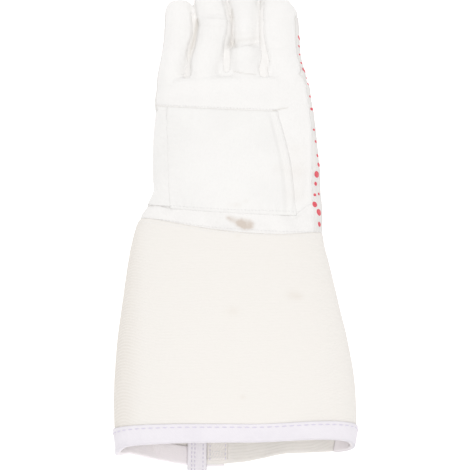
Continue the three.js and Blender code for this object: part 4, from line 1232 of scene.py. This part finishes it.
def stitches(name, lines, material, pitch, length, width=0.55, height=0.5):
    obj = carrier(name, [line for line in lines if len(line) > 2])
    pieces[name] = grown(obj, STITCH_TREE, {
        "Pitch": pitch * MM, "Length": length * MM, "Width": width * MM, "Height": height * MM,
        "Material": material})


# Materials

class Value:
    """A number in a material; each sum with it adds a Math node."""

    def __init__(self, finish, socket):
        self.finish = finish
        self.socket = socket

    def sum(self, operation, *others):
        return self.finish.node("ShaderNodeMath", {"operation": operation},
                                dict(enumerate([self, *others])))

    def __add__(self, other):
        return self.sum("ADD", other)

    def __sub__(self, other):
        return self.sum("SUBTRACT", other)

    def __mul__(self, other):
        return self.sum("MULTIPLY", other)

    def __rsub__(self, other):
        return self.finish.node("ShaderNodeMath", {"operation": "SUBTRACT"}, {0: other, 1: self})

    __radd__ = __add__
    __rmul__ = __mul__


class Finish:
    """A material and the nodes that it is made of."""

    def __init__(self, name, roughness, gloss):
        self.material = bpy.data.materials.new(name)
        self.material.use_nodes = True
        self.nodes = self.material.node_tree.nodes
        self.links = self.material.node_tree.links
        self.shader = self.nodes["Principled BSDF"]
        self.shader.inputs["Roughness"].default_value = roughness
        self.shader.inputs["Specular IOR Level"].default_value = gloss
        self.place = self.node("ShaderNodeTexCoord", out="Object")

    def node(self, kind, settings=None, inputs=None, out=0):
        node = self.nodes.new(kind)
        for key, value in (settings or {}).items():
            setattr(node, key, value)
        for key, value in (inputs or {}).items():
            if isinstance(value, Value):
                self.links.new(value.socket, node.inputs[key])
            else:
                node.inputs[key].default_value = value
        return Value(self, node.outputs[out])

    def attribute(self, name):
        return self.node("ShaderNodeAttribute", {"attribute_name": name}, out="Fac")

    def weave_map(self):
        return self.node("ShaderNodeUVMap", {"uv_map": "weave"})

    def parts(self, vector):
        """The X, Y and Z of a vector."""
        split = self.node("ShaderNodeSeparateXYZ", {}, {0: vector}).socket.node
        return [Value(self, output) for output in split.outputs]

    def noise(self, per_metre, detail=3.0, roughness=0.5, vector=None, stretch=None):
        vector = vector or self.place
        if stretch:
            vector = self.node("ShaderNodeMapping", {}, {"Vector": vector, "Scale": stretch})
        return self.node("ShaderNodeTexNoise", {}, {
            "Vector": vector, "Scale": per_metre, "Detail": detail, "Roughness": roughness})

    def cells(self, per_metre):
        return self.node("ShaderNodeTexVoronoi", {"feature": "SMOOTH_F1"}, {
            "Vector": self.place, "Scale": per_metre, "Smoothness": 0.35}, out="Distance")

    def wave(self, length, spacing):
        """Rises and falls between 0 and 1 once for each spacing of a length in metres."""
        return (length * (2 * math.pi / spacing)).sum("SINE") * 0.5 + 0.5

    def step(self, value, low, high):
        """0 below low, 1 above high, smooth between."""
        return self.node("ShaderNodeMapRange", {"interpolation_type": "SMOOTHSTEP"}, {
            "Value": value, "From Min": low, "From Max": high})

    def paint(self, colour, *coats):
        """Base Color: a colour under coats, each given as its amount and its colour."""
        for amount, over in coats:
            a, b = [c if isinstance(c, Value) else (*c, 1) for c in (colour, over)]
            colour = self.node("ShaderNodeMix", {"data_type": "RGBA"}, {0: amount, 6: a, 7: b}, out=2)
        self.links.new(colour.socket, self.shader.inputs["Base Color"])

    def rough(self, value):
        self.links.new(value.socket, self.shader.inputs["Roughness"])

    def bump(self, *layers):
        """Relief from pairs of height and depth in metres."""
        total = layers[0][0] * layers[0][1]
        for height, depth in layers[1:]:
            total = total + height * depth
        bump = self.node("ShaderNodeBump", {}, {"Height": total, "Strength": 1.0, "Distance": 1.0},
                         out="Normal")
        self.links.new(bump.socket, self.shader.inputs["Normal"])


def shade(colour, share):
    return tuple(c * share for c in colour)


def leather(name, base, grain_depth, wrinkle_depth):
    """White glove leather: pebbled grain, soft creases, darker seams, painted shade in the folds and in
    the gaps between fingers, and stains, some of them partly painted shade.
    """
    finish = Finish(name, 0.58, 0.35)
    shade_and_dark_seams = finish.step(finish.attribute("shade_and_dark_seams"), 0.05, 0.9)
    stain_and_shade = finish.step(finish.attribute("stain_and_shade"), 0.0, 1.0)
    inside = finish.attribute("inside")
    cloud = finish.noise(28, 4, 0.6)
    fine = finish.noise(420, 3, 0.6)
    finish.paint(
        base,
        (finish.step(cloud, 0.35, 0.7), shade(base, 0.972)),
        (finish.step(fine, 0.45, 0.75) * 0.25, shade(base, 0.94)),
        # painted shade in the folds and gaps, and darker seams
        (shade_and_dark_seams * 0.75, (0.63, 0.60, 0.555)),
        # stains; on the thumb side of the back they are partly painted shade
        (stain_and_shade * (0.55 + 0.6 * cloud), (0.56, 0.45, 0.36)),
        (inside * 0.9, (0.63, 0.60, 0.565)))
    wrinkle = finish.noise(190, 5, 0.62, stretch=(1.0, 0.55, 1.0))
    hair = finish.noise(2600, 2, 0.5)
    finish.rough(0.5 + 0.16 * fine + 0.1 * inside)
    finish.bump((finish.cells(1150), grain_depth), (wrinkle, wrinkle_depth),
                (hair, grain_depth * 0.35))
    return finish.material


def suede(name, base):
    """Soft palm leather with a short nap."""
    finish = Finish(name, 0.85, 0.2)
    nap = finish.noise(1500, 3, 0.7)
    finish.paint(
        base,
        (finish.step(finish.noise(40, 4, 0.6), 0.3, 0.7), shade(base, 0.93)),
        (finish.step(nap, 0.4, 0.7) * 0.35, shade(base, 0.88)),
        # painted shade in the folds, and darker seams
        (finish.step(finish.attribute("shade_and_dark_seams"), 0.05, 0.9) * 0.7, (0.66, 0.60, 0.55)),
        (finish.attribute("inside") * 0.9, (0.60, 0.57, 0.54)))
    finish.bump((nap, 0.00012), (finish.noise(170, 4, 0.6), 0.0005))
    return finish.material


def ribbed_cloth():
    """Cream cotton with fine ribs parallel to the hem, darker and browner towards the left side. Inside,
    its ribs are painted darker, as shade in their grooves, and the whole is painted lighter, standing in
    for the light that reaches into the gauntlet's mouth.
    """
    finish = Finish("ribbed cloth", 0.85, 0.2)
    weave = finish.weave_map()
    across, along, _ = finish.parts(weave)
    drift = finish.noise(34, 3, 0.55, weave) - 0.5
    ragged = finish.noise(700, 2, 0.6, weave, (0.35, 1.0, 1.0)) - 0.5
    rib = finish.wave(along + drift * 0.0034 + ragged * 0.00035, RIB_PITCH)
    thread_line = (across * (2 * math.pi / 0.0009) + ragged * 3).sum("SINE") * 0.5 + 0.5
    patch = finish.noise(60, 3, 0.6, weave)
    side = finish.attribute("side")
    inside = finish.attribute("inside")
    finish.paint(
        (0.80, 0.773, 0.738),
        # rib grooves darker towards the left side, and on the inside as painted shade
        ((1 - rib) * (0.035 + 0.35 * side + 0.3 * inside), (0.66, 0.615, 0.56)),
        (finish.step(patch, 0.35, 0.75) * 0.3, (0.80, 0.766, 0.728)),
        (thread_line * 0.05, (0.70, 0.66, 0.61)),
        (side * 0.2, (0.66, 0.60, 0.53)),
        (finish.step(finish.attribute("stain_and_shade"), 0.0, 1.0) * 0.7, (0.62, 0.54, 0.46)),
        # inside painted lighter, standing in for light in the gauntlet's mouth
        (inside * 0.75, (0.84, 0.81, 0.775)))
    finish.bump((rib, 0.00009), (thread_line, 0.00003), (patch, 0.0004))
    return finish.material


def twill_tape(name, base, dark, pitch=0.0011):
    """Narrow woven tape with slanting twill lines."""
    finish = Finish(name, 0.75, 0.25)
    across, along, _ = finish.parts(finish.weave_map())
    ragged = finish.noise(900, 2, 0.5) - 0.5
    slant = ((across + along * 0.8) * (2 * math.pi / pitch) + ragged * 1.6).sum("SINE") * 0.5 + 0.5
    cloud = finish.noise(60, 3, 0.6)
    finish.paint(
        base,
        ((1 - slant) * 0.35, dark),
        (finish.step(cloud, 0.4, 0.75) * 0.35, dark),
        # inner faces painted paler, which is painted light standing in for light reaching them inside the
        # gauntlet
        (finish.attribute("inside") * 0.8, (0.92, 0.87, 0.88)))
    finish.bump((slant, 0.00011), (cloud, 0.0003))
    return finish.material


def knit(name, base):
    """Close knitted band, a little soiled."""
    finish = Finish(name, 0.8, 0.25)
    cloud = finish.noise(45, 4, 0.6)
    blotch = finish.noise(210, 3, 0.6)
    tint = finish.step(finish.attribute("stain_and_shade") * (0.35 + 1.2 * blotch), 0.10, 0.95)
    finish.paint(
        base,
        (finish.step(cloud, 0.35, 0.75), shade(base, 0.95)),
        # painted shade in the folds, and darker seams
        (finish.step(finish.attribute("shade_and_dark_seams"), 0.05, 0.9) * 0.65, (0.70, 0.65, 0.60)),
        (tint * 0.8, (0.56, 0.475, 0.405)),
        (finish.attribute("inside") * 0.9, (0.62, 0.59, 0.56)))
    finish.bump((finish.cells(900), 0.00022), (cloud, 0.0007), (blotch, 0.00025))
    return finish.material


def thread(name, dark, light):
    finish = Finish(name, 0.6, 0.4)
    twist = finish.noise(2400, 2, 0.5)
    finish.paint(dark, (twist, light))
    finish.bump((twist, 0.0001))
    return finish.material


def rubber():
    finish = Finish("grip rubber", 0.5, 0.4)
    mottle = finish.noise(500, 3, 0.6)
    finish.paint((0.73, 0.115, 0.14), (finish.step(mottle, 0.3, 0.7), (0.65, 0.08, 0.11)))
    finish.bump((mottle, 0.0002))
    return finish.material


def floor_finish():
    finish = Finish("floor", 0.9, 0.1)
    finish.paint((0.93, 0.93, 0.93), (finish.noise(3, 2, 0.5), (0.95, 0.95, 0.95)))
    finish.shader.inputs["Emission Color"].default_value = (1, 1, 1, 1)
    finish.shader.inputs["Emission Strength"].default_value = FLOOR_GLOW
    return finish.material


RIB_PITCH = 0.0023
FLOOR_GLOW = 0.3
WHITE_LEATHER = leather("white leather", (0.834, 0.82, 0.805), 0.00010, 0.00055)
PAD_LEATHER = leather("pad leather", (0.818, 0.806, 0.79), 0.00008, 0.0004)
STRIP_LEATHER = leather("strip leather", (0.84, 0.82, 0.80), 0.00008, 0.0005)
PALM_SUEDE = suede("palm suede", (0.78, 0.765, 0.745))
BAND_KNIT = knit("wrist band", (0.83, 0.815, 0.80))
CUFF_CLOTH = ribbed_cloth()
HEM_TWILL = twill_tape("hem tape", (0.81, 0.78, 0.815), (0.72, 0.69, 0.74))
# The slit's tape is the hem's tape, painted lighter to stand in for the light inside the gauntlet's
# mouth.
SLIT_TWILL_PAINTED_LIGHTER = twill_tape("slit tape", (0.91, 0.88, 0.915), (0.84, 0.80, 0.86))
FACING_CLOTH = twill_tape("facing cloth", (0.86, 0.82, 0.79), (0.76, 0.72, 0.69), 0.0022)
THREAD = thread("white thread", (0.75, 0.74, 0.74), (0.82, 0.81, 0.80))
TAPE_THREAD = thread("lilac thread", (0.62, 0.58, 0.695), (0.71, 0.67, 0.77))
GRIP_RUBBER = rubber()
STITCH_TREE = stitch_tree()
DOT_TREE = dot_tree()


# What the photograph shows on the glove. Each entry of CREASES is a line in pixels, its depth and width
# in millimetres, and its tint, which is painted shade along it. A negative depth raises a ridge.

CREASES = [
    ([(232, 40), (234, 47), (240, 45.5), (248, 44), (257, 43)], 1.6, 1.6, 0.4),
    # The next two have no depth: they are only painted shade, above the middle finger's step.
    ([(234, 41), (245, 40), (258, 38)], 0.0, 5.0, 0.36),
    ([(235, 34), (246, 34), (258, 32)], 0.0, 5.0, 0.22),
    ([(233, 71), (240, 72.5), (248, 73.4), (256, 74)], 0.8, 0.9, 0.6),
    ([(247.5, 25), (251, 27.5), (256.5, 31.5)], 0.5, 0.8, 0.3),
    ([(246, 28), (250, 31), (255, 34.5)], 0.4, 0.8, 0.25),
    ([(248.5, 22), (252.5, 24), (257, 27.5)], 0.4, 0.8, 0.25),
    ([(199, 14), (208, 12.6), (218, 13), (229, 15)], 1.0, 2.6, 0.15),
    ([(198, 20), (207, 19), (218, 19.5), (228, 21)], -0.9, 2.0, 0.0),
    ([(195, 25.5), (205, 25), (216, 26), (227, 27)], 0.5, 1.6, 0.2),
    ([(273, 110.5), (277, 110), (280, 108.8), (288, 107.6)], 0.8, 1.0, 0.7),
    ([(297, 218.5), (301, 215)], 0.5, 1.2, 0.25),
    ([(300, 206), (306, 190), (308, 170)], 0.35, 2.6, 0.1),
    ([(160, 45), (168, 44), (180, 45), (188, 47)], 0.35, 2.0, 0.1),
    ([(160, 60), (170, 59), (182, 61)], 0.3, 1.8, 0.1),
    ([(262, 50), (275, 47), (290, 47.5)], 0.35, 2.2, 0.1),
    ([(264, 62), (276, 60), (293, 61)], 0.3, 2.0, 0.1),
    ([(160, 92), (175, 88), (190, 91)], 0.3, 3.0, 0.08),
    ([(200, 95), (220, 90), (240, 94)], 0.35, 3.5, 0.08),
    ([(240, 86), (262, 91), (288, 93)], 0.3, 3.0, 0.08),
]
KNUCKLE_EDGE = [(156.5, 105.6), (167.6, 106.8), (200, 108.3), (240, 110), (275.8, 111.2)]
WRIST_EDGE = [
    (140.5, 219.4), (172, 222.9), (200, 227.8), (219.6, 229.9), (256, 232), (284, 233.8), (319, 233.8)]
PAD_BOTTOM = [(170.6, 208), (188.8, 209.5), (239, 212.4), (292.5, 213.8)]
PAD_LEFT = [(168.6, 207), (167.6, 170), (167.0, 140), (166.6, 108)]
# Painted shade in the gaps between fingers, each with its tint; it is darker lower down
FINGER_GAP_SHADE = [
    ([(197.5, 20), (194, 40), (188, 60)], 1.0),
    ([(232, 10), (232, 46), (228, 58)], 0.6),
]
# Stains, some of them partly painted shade: pixel, size in pixels and strength
HAND_STAINS_AND_SHADE = [
    (229, 218, 4.0, 0.25), (225, 214, 4.0, 0.15), (252, 223, 3.5, 0.35), (233, 219.5, 4.5, 0.45),
    (239, 222.5, 5.5, 0.62), (245, 225, 5.5, 0.66), (251, 227, 4.5, 0.50), (249, 220.5, 4.5, 0.30),
    (241, 218.5, 4.0, 0.22), (245, 228.5, 4.5, 0.20), (241, 224, 4.5, 0.25), (228, 217.5, 3.5, 0.25),
    (238, 235, 3.0, 0.30), (229, 205, 4.5, 0.14), (237, 205, 5.0, 0.24), (246, 201, 4.0, 0.18),
    # The broad marks at x 276 to 298, on the thumb side beside the pad's rolled edge, are stain and
    # painted shade together.
    (296, 150, 13.0, 0.17), (297, 172, 15.0, 0.24), (297, 195, 13.0, 0.20), (276, 168, 7.0, 0.12),
    (158, 199, 6.0, 0.16), (298, 120, 9.0, 0.08)]
CUFF_STAINS = [
    (238, 236, 3.2, 0.30), (293, 295, 8.0, 0.34), (300, 297, 5.0, 0.20), (233, 311, 8.0, 0.30),
    (243, 397, 3.5, 0.35)]
# Rubber dots in sight: pixel and size in millimetres
DOT_PIXELS = [
    (299.4, 37.8, 4.2), (299, 46.3, 2.3), (299.6, 54.6, 1.8), (301.3, 63, 2.2), (304.8, 70.2, 4.6),
    (307.5, 78, 1.8), (308.4, 84, 2.2), (310.1, 96.6, 2.2), (311.6, 109, 2.7), (314, 129.7, 2.0),
    (315.8, 141.6, 2.4), (317.5, 155.6, 2.7), (318.7, 164.8, 3.6), (316.8, 174.4, 5.2),
    (315.8, 183.8, 3.2), (314.9, 194.8, 2.4), (318.8, 194, 2.4), (314.6, 204.5, 4.5),
    (318.9, 212.3, 5.4), (319.4, 224.2, 3.9)]
STAINS_ABOVE = 8.0            # stains reach no lower than this


def spots(points, marks):
    """How strongly round marks on the upper side reach each point."""
    px, py = pixels_of(points)
    total = np.zeros(len(points))
    for x, y, size, strength in marks:
        total += strength * bell(px - x, size) * bell(py - y, 0.8 * size)
    return total * (points[:, 2] > STAINS_ABOVE)


# Hand pieces

SEAM_DEPTH = 0.75
SEAM_WIDTH = 0.9
EDGE_RISE = 0.28              # how far the leather's edges stand up beside a seam
GRAIN_WAVES = ((46, 0.55, 3), (15, 0.30, 4), (6.5, 0.13, 5))     # size, depth and seed
SKIN_LOWEST = 0.5             # the dots keep the leather off the surface
MATERIALS = {
    **dict.fromkeys(STRIPS, STRIP_LEATHER), "leather_thumb": PALM_SUEDE,
    "leather_palm": PALM_SUEDE, "band_wrist": BAND_KNIT, "leather_back": WHITE_LEATHER,
}
pieces = {}


def keep(name, obj, material):
    obj.data.materials.clear()
    obj.data.materials.append(material)
    pieces[name] = obj


def seam_marks(skin, fields):
    """How far each point moves beside the seams, and how much darker their colour is painted there."""
    seam = np.maximum.reduce(list(fields.values()))
    strips = np.maximum.reduce([fields[name] for name in STRIPS])
    soft = bell(np.minimum(np.abs(strips), 9), 2.5)
    band = bell(np.abs(fields["band_wrist"]), 1.5)
    right = ease(42, 50, skin.points[:, 0])
    wrap = bell(np.abs(fields["leather_palm"]), 1.5) * ease(10, 20, skin.points[:, 2])
    wrap = wrap * (skin.points[:, 1] < HAND_LENGTH)
    depth = SEAM_DEPTH * (1 - 0.6 * soft) * (1 - band * (0.8 + 0.2 * right)) * (1 - 0.6 * wrap)
    move = EDGE_RISE * bell(seam - 2.1, 1.2) - depth * bell(seam, SEAM_WIDTH)
    seam_darkening = (0.34 - 0.22 * soft) * (1 - band * (0.7 + 0.3 * right)) * (1 - 0.7 * wrap)
    return move, seam_darkening * bell(seam, 0.7)


def shape_hand(skin, fields):
    """Presses seams, folds and fine waves into the hand, and marks where its colour is painted darker:
    painted shade in the folds and between the fingers, and darker seams.
    """
    tree = skin.tree()
    move, shade_and_dark_seams = seam_marks(skin, fields)
    # each line's tint is painted shade along it
    for pixels, depth, width, tint in CREASES:
        gap, share = distance_to(skin.points, [place for place, _ in on_skin(tree, rounded(pixels))])
        ends = np.clip(np.sin(math.pi * clamp(share, 0.02, 0.98)), 0, 1) ** 0.5
        move -= depth * bell(gap, width) * ends
        shade_and_dark_seams = np.maximum(shade_and_dark_seams, tint * bell(gap, 0.7 * width) * (gap < 6))
    gap, _ = distance_to(skin.points, [place for place, _ in on_skin(tree, rounded(KNUCKLE_EDGE))])
    shade_and_dark_seams = np.maximum(shade_and_dark_seams, 0.6 * bell(gap, 0.8))
    px, py = pixels_of(skin.points)
    seen = np.stack([px, py, 0 * px], 1)
    # the painted shade between the fingers grows darker lower down in the gaps
    deep = ease(30, 16, skin.points[:, 2])
    for pixels, tint in FINGER_GAP_SHADE:
        near, _ = distance_to(seen, [(x, y, 0) for x, y in rounded(pixels)])
        shade_and_dark_seams = np.maximum(shade_and_dark_seams, tint * bell(near, 2.0) * (0.35 + 0.65 * deep))
    for size, depth, seed in GRAIN_WAVES:
        move += depth * field_noise(skin.points, size, seed)
    under = 1 - ease(1.5, 8, skin.points[:, 2])
    move = np.where(skin.points[:, 2] < 0.6, np.minimum(move, 0.0), move * (1 - 0.5 * under))
    tucked = ease(1.0, 4.0, skin.points[:, 1] - seam_y(skin.points[:, 0]))
    skin.points = skin.points + skin.normals * (move * tucked)[:, None]
    skin.points[:, 2] = np.maximum(skin.points[:, 2], SKIN_LOWEST * tucked)
    skin.values["shade_and_dark_seams"] = shade_and_dark_seams
    skin.values["stain_and_shade"] = spots(skin.points, HAND_STAINS_AND_SHADE)
    skin.aim()


def hand_pieces():
    skin = hand_blank()
    fields = seam_fields(skin.points)
    shape_hand(skin, fields)
    parts = {name: skin.part(field) for name, field in fields.items()}
    for name, part in parts.items():
        wall = STRIP_LEATHER_WALL if name in STRIPS else LEATHER
        keep(name, part.shell(name, wall), MATERIALS[name])
    return skin, parts["leather_palm"]


# Stitches

def seam_stitches(hand, pad, cuff):
    """The stitches that show beside the seams of the photograph."""
    def line(skin, pixels, shift):
        found = on_skin(skin.tree(), rounded(beside(pixels, shift)))
        return [(place + normal * 0.1, normal) for place, normal in found]

    stitches("stitches_knuckles", [line(hand, KNUCKLE_EDGE, 1.8)], THREAD, 2.4, 1.7)
    stitches("stitches_pad", [line(pad, PAD_BOTTOM, 2.6), line(pad, PAD_LEFT, 2.4)], THREAD, 2.5, 1.7)
    stitches("stitches_wrist", [line(cuff, WRIST_EDGE, -2.2), line(hand, WRIST_EDGE, 2.2)],
             THREAD, 2.7, 1.9)


def hem_stitches():
    """Long dashes along the hem tape, all the way round."""
    mesh = pieces["tape_hem"].data
    points = np.empty(len(mesh.vertices) * 3)
    mesh.vertices.foreach_get("co", points)
    tree = tree_of(points.reshape(-1, 3) / MM - PLACE, [tuple(p.vertices) for p in mesh.polygons])
    u = np.linspace(0.004, HEM_TAPE_END - 0.004, 420)
    v = np.full_like(u, 1 - HEM_STITCH / CUFF_LENGTH)
    outer, level = [cuff_grid(u[None, :], v[None, :], GAP + TAPE + rise)[0] for rise in (0, 1)]
    line = []
    for place, up in zip(outer, unit(level - outer)):
        hit, _, _, _ = tree.ray_cast(Vector(place + up * 3), Vector(-up), 6.0)
        if hit is not None and hit[2] > 0.9:
            line.append((np.array(hit) + up * 0.08, up))
    stitches("stitches_hem", [line], TAPE_THREAD, 5.1, 3.6, 0.85, 0.5)


def flap_line(inside, v, rise):
    """A line on the inner flap's upper side, a little above its tape."""
    points = flap_grid(inside, v, np.full_like(v, -CLOTH - GAP - TAPE - rise))
    return [(point, np.array([0, 0, 1.0])) for point in points]


def slit_stitches():
    """Stitches along the slit's tape and facing, and the crossed ones at the facing's end."""
    crossed = []
    steps = np.arange(ZIGZAG_TURNS + 1)
    fine = np.linspace(0, ZIGZAG_TURNS, 61)
    for turn in (0, 1):
        inside = FACING_START + 1.2 + (FACING_WIDTH - 2.4) * steps / ZIGZAG_TURNS
        v = ZIGZAG_LOW - np.where(steps % 2 == turn, 0, ZIGZAG_HEIGHT) / CUFF_LENGTH
        crossed.append(flap_line(np.interp(fine, steps, inside), np.interp(fine, steps, v), 0.3))
    stitches("stitches_cross", crossed, THREAD, 1.9, 1.4, 0.5, 0.35)
    v = np.linspace(SLIT_TOP + 0.01, 1.03, 200)
    lines = [flap_line(np.full_like(v, inside), v, 0.42) for inside in (2.4, 4.6, 10.4)]
    v = v[v < FACING_END - 0.004]
    for inside in (FACING_START + 2, FACING_START + FACING_WIDTH - 1.6):
        lines.append(flap_line(np.full_like(v, inside), v, 0.12))
    stitches("stitches_slit", lines, TAPE_THREAD, 3.0, 2.3, 0.7, 0.45)


# Rubber dots

DOT_PITCH = 7.3
DOT_SIZE = 3.9
DOT_RISE = 0.9
DOT_SINK = 0.05               # into the leather, where it is clear of the surface
PATTERN_LENGTH = 230
ROW_STEP = 0.866              # rows of the pattern, as a share of the pitch
DOT_CLEARANCE = 6             # between the seen dots and the pattern


def seen_dots(tree):
    """Places, normals and sizes of the dots that the photograph shows."""
    for px, py, size in DOT_PIXELS:
        for shift in np.arange(0, 5, 0.4):
            hit, normal, _, _ = tree.ray_cast(Vector(EYE), Vector(ray(px - shift, py)))
            if hit is not None:
                yield np.array(hit), np.array(normal), size
                break


def palm_dots(tree, seen):
    """The same pattern on the palm, where the photograph doesn't reach."""
    for r in range(int(PATTERN_LENGTH / (DOT_PITCH * ROW_STEP))):
        y = -1 + r * DOT_PITCH * ROW_STEP
        for c in range(-10, 11):
            x = (c + 0.5 * (r % 2)) * DOT_PITCH
            hit, normal, _, _ = tree.ray_cast(Vector((x, y, -30)), Vector((0, 0, 1)))
            if hit is None or normal[2] > -0.55:
                continue
            if np.linalg.norm(seen - np.array(hit), axis=1).min() < DOT_CLEARANCE:
                continue
            if np.dot(np.array(normal), EYE - np.array(hit)) <= 0:
                yield np.array(hit), np.array(normal), DOT_SIZE


def grip_dots(palm):
    """Rubber dots on the palm leather; those that touch the surface are sunk into it."""
    tree = palm.tree()
    found = list(seen_dots(tree))
    found += list(palm_dots(tree, np.array([place for place, _, _ in found])))
    kept = [(place - up * (DOT_SINK if place[2] > 1.2 else DOT_RISE / 2), up)
            for place, up, _ in found]
    obj = carrier("dots_grip", [kept], [size for _, _, size in found])
    pieces["dots_grip"] = grown(obj, DOT_TREE, {"Rise": DOT_RISE * MM, "Material": GRIP_RUBBER})


# Floor, light and world

FLOOR_HALF = 6.0
WORLD_LIGHT = 0.71
# Each lamp: size in metres, watts and place
LAMPS = {"softbox": (1.3, 8.5, (-0.25, 1.4, 1.2)), "fill": (0.9, 12.0, (0.1, -0.8, 1.6))}


def studio():
    mesh = bpy.data.meshes.new("floor")
    corners = [(x * FLOOR_HALF, y * FLOOR_HALF, 0) for x, y in ((-1, -1), (1, -1), (1, 1), (-1, 1))]
    mesh.from_pydata(corners, [], [(0, 1, 2, 3)])
    mesh.materials.append(floor_finish())
    add_object("floor", mesh)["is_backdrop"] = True
    world = bpy.data.worlds.new("studio")
    world.use_nodes = True
    world.node_tree.nodes["Background"].inputs["Color"].default_value = (1, 1, 1, 1)
    world.node_tree.nodes["Background"].inputs["Strength"].default_value = WORLD_LIGHT
    bpy.context.scene.world = world
    for name, (size, watts, place) in LAMPS.items():
        data = bpy.data.lights.new(name, "AREA")
        data.size = size
        data.energy = watts
        lamp = add_object(name, data)
        lamp.location = place
        lamp.rotation_euler = (-Vector(place)).to_track_quat("-Z", "Y").to_euler()
    bpy.context.scene.view_settings.view_transform = "Standard"
    bpy.context.scene.view_settings.look = "None"


# Each piece with the solid that it stands for and the slot of its finish
STANDS_FOR = {
    "strip_little_ring": ("fourchette_little_ring", "hand_leather"),
    "strip_ring_middle": ("fourchette_ring_middle", "hand_leather"),
    "strip_middle_index": ("fourchette_middle_index", "hand_leather"),
    "leather_thumb": ("thumb", "palm_leather"),
    "leather_palm": ("hand_palm", "palm_leather"),
    "band_wrist": ("wrist_band", "band_leather"),
    "leather_back": ("hand_back", "hand_leather"),
    "pad_back": ("back_pad", "pad_leather"),
    "pad_side": ("side_pad", "pad_leather"),
    "gauntlet": ("cuff", "cuff_cloth"),
    "tape_hem": ("hem_binding", "hem_tape"),
    "tape_slit": ("slit_binding", "hem_tape"),
    "strip_facing": ("slit_facing", "facing_cloth"),
}

make_camera()
studio()
hand_skin, palm_skin = hand_pieces()
pad_skin = back_pad()
side_pad()
cuff_skin = gauntlet()
hem_tape()
slit_tape()
slit_facing()
seam_stitches(hand_skin, pad_skin, cuff_skin)
hem_stitches()
slit_stitches()
grip_dots(palm_skin)

for name, piece in pieces.items():
    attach(piece, "root")
    if name in STANDS_FOR:
        node, slot = STANDS_FOR[name]
        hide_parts(node)
    else:
        "grip_dots" if name == "dots_grip" else "thread"

boxes = {"cad": cad_box, "visual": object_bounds()}
{key: [list(map(float, corner)) for corner in box] for key, box in boxes.items()}
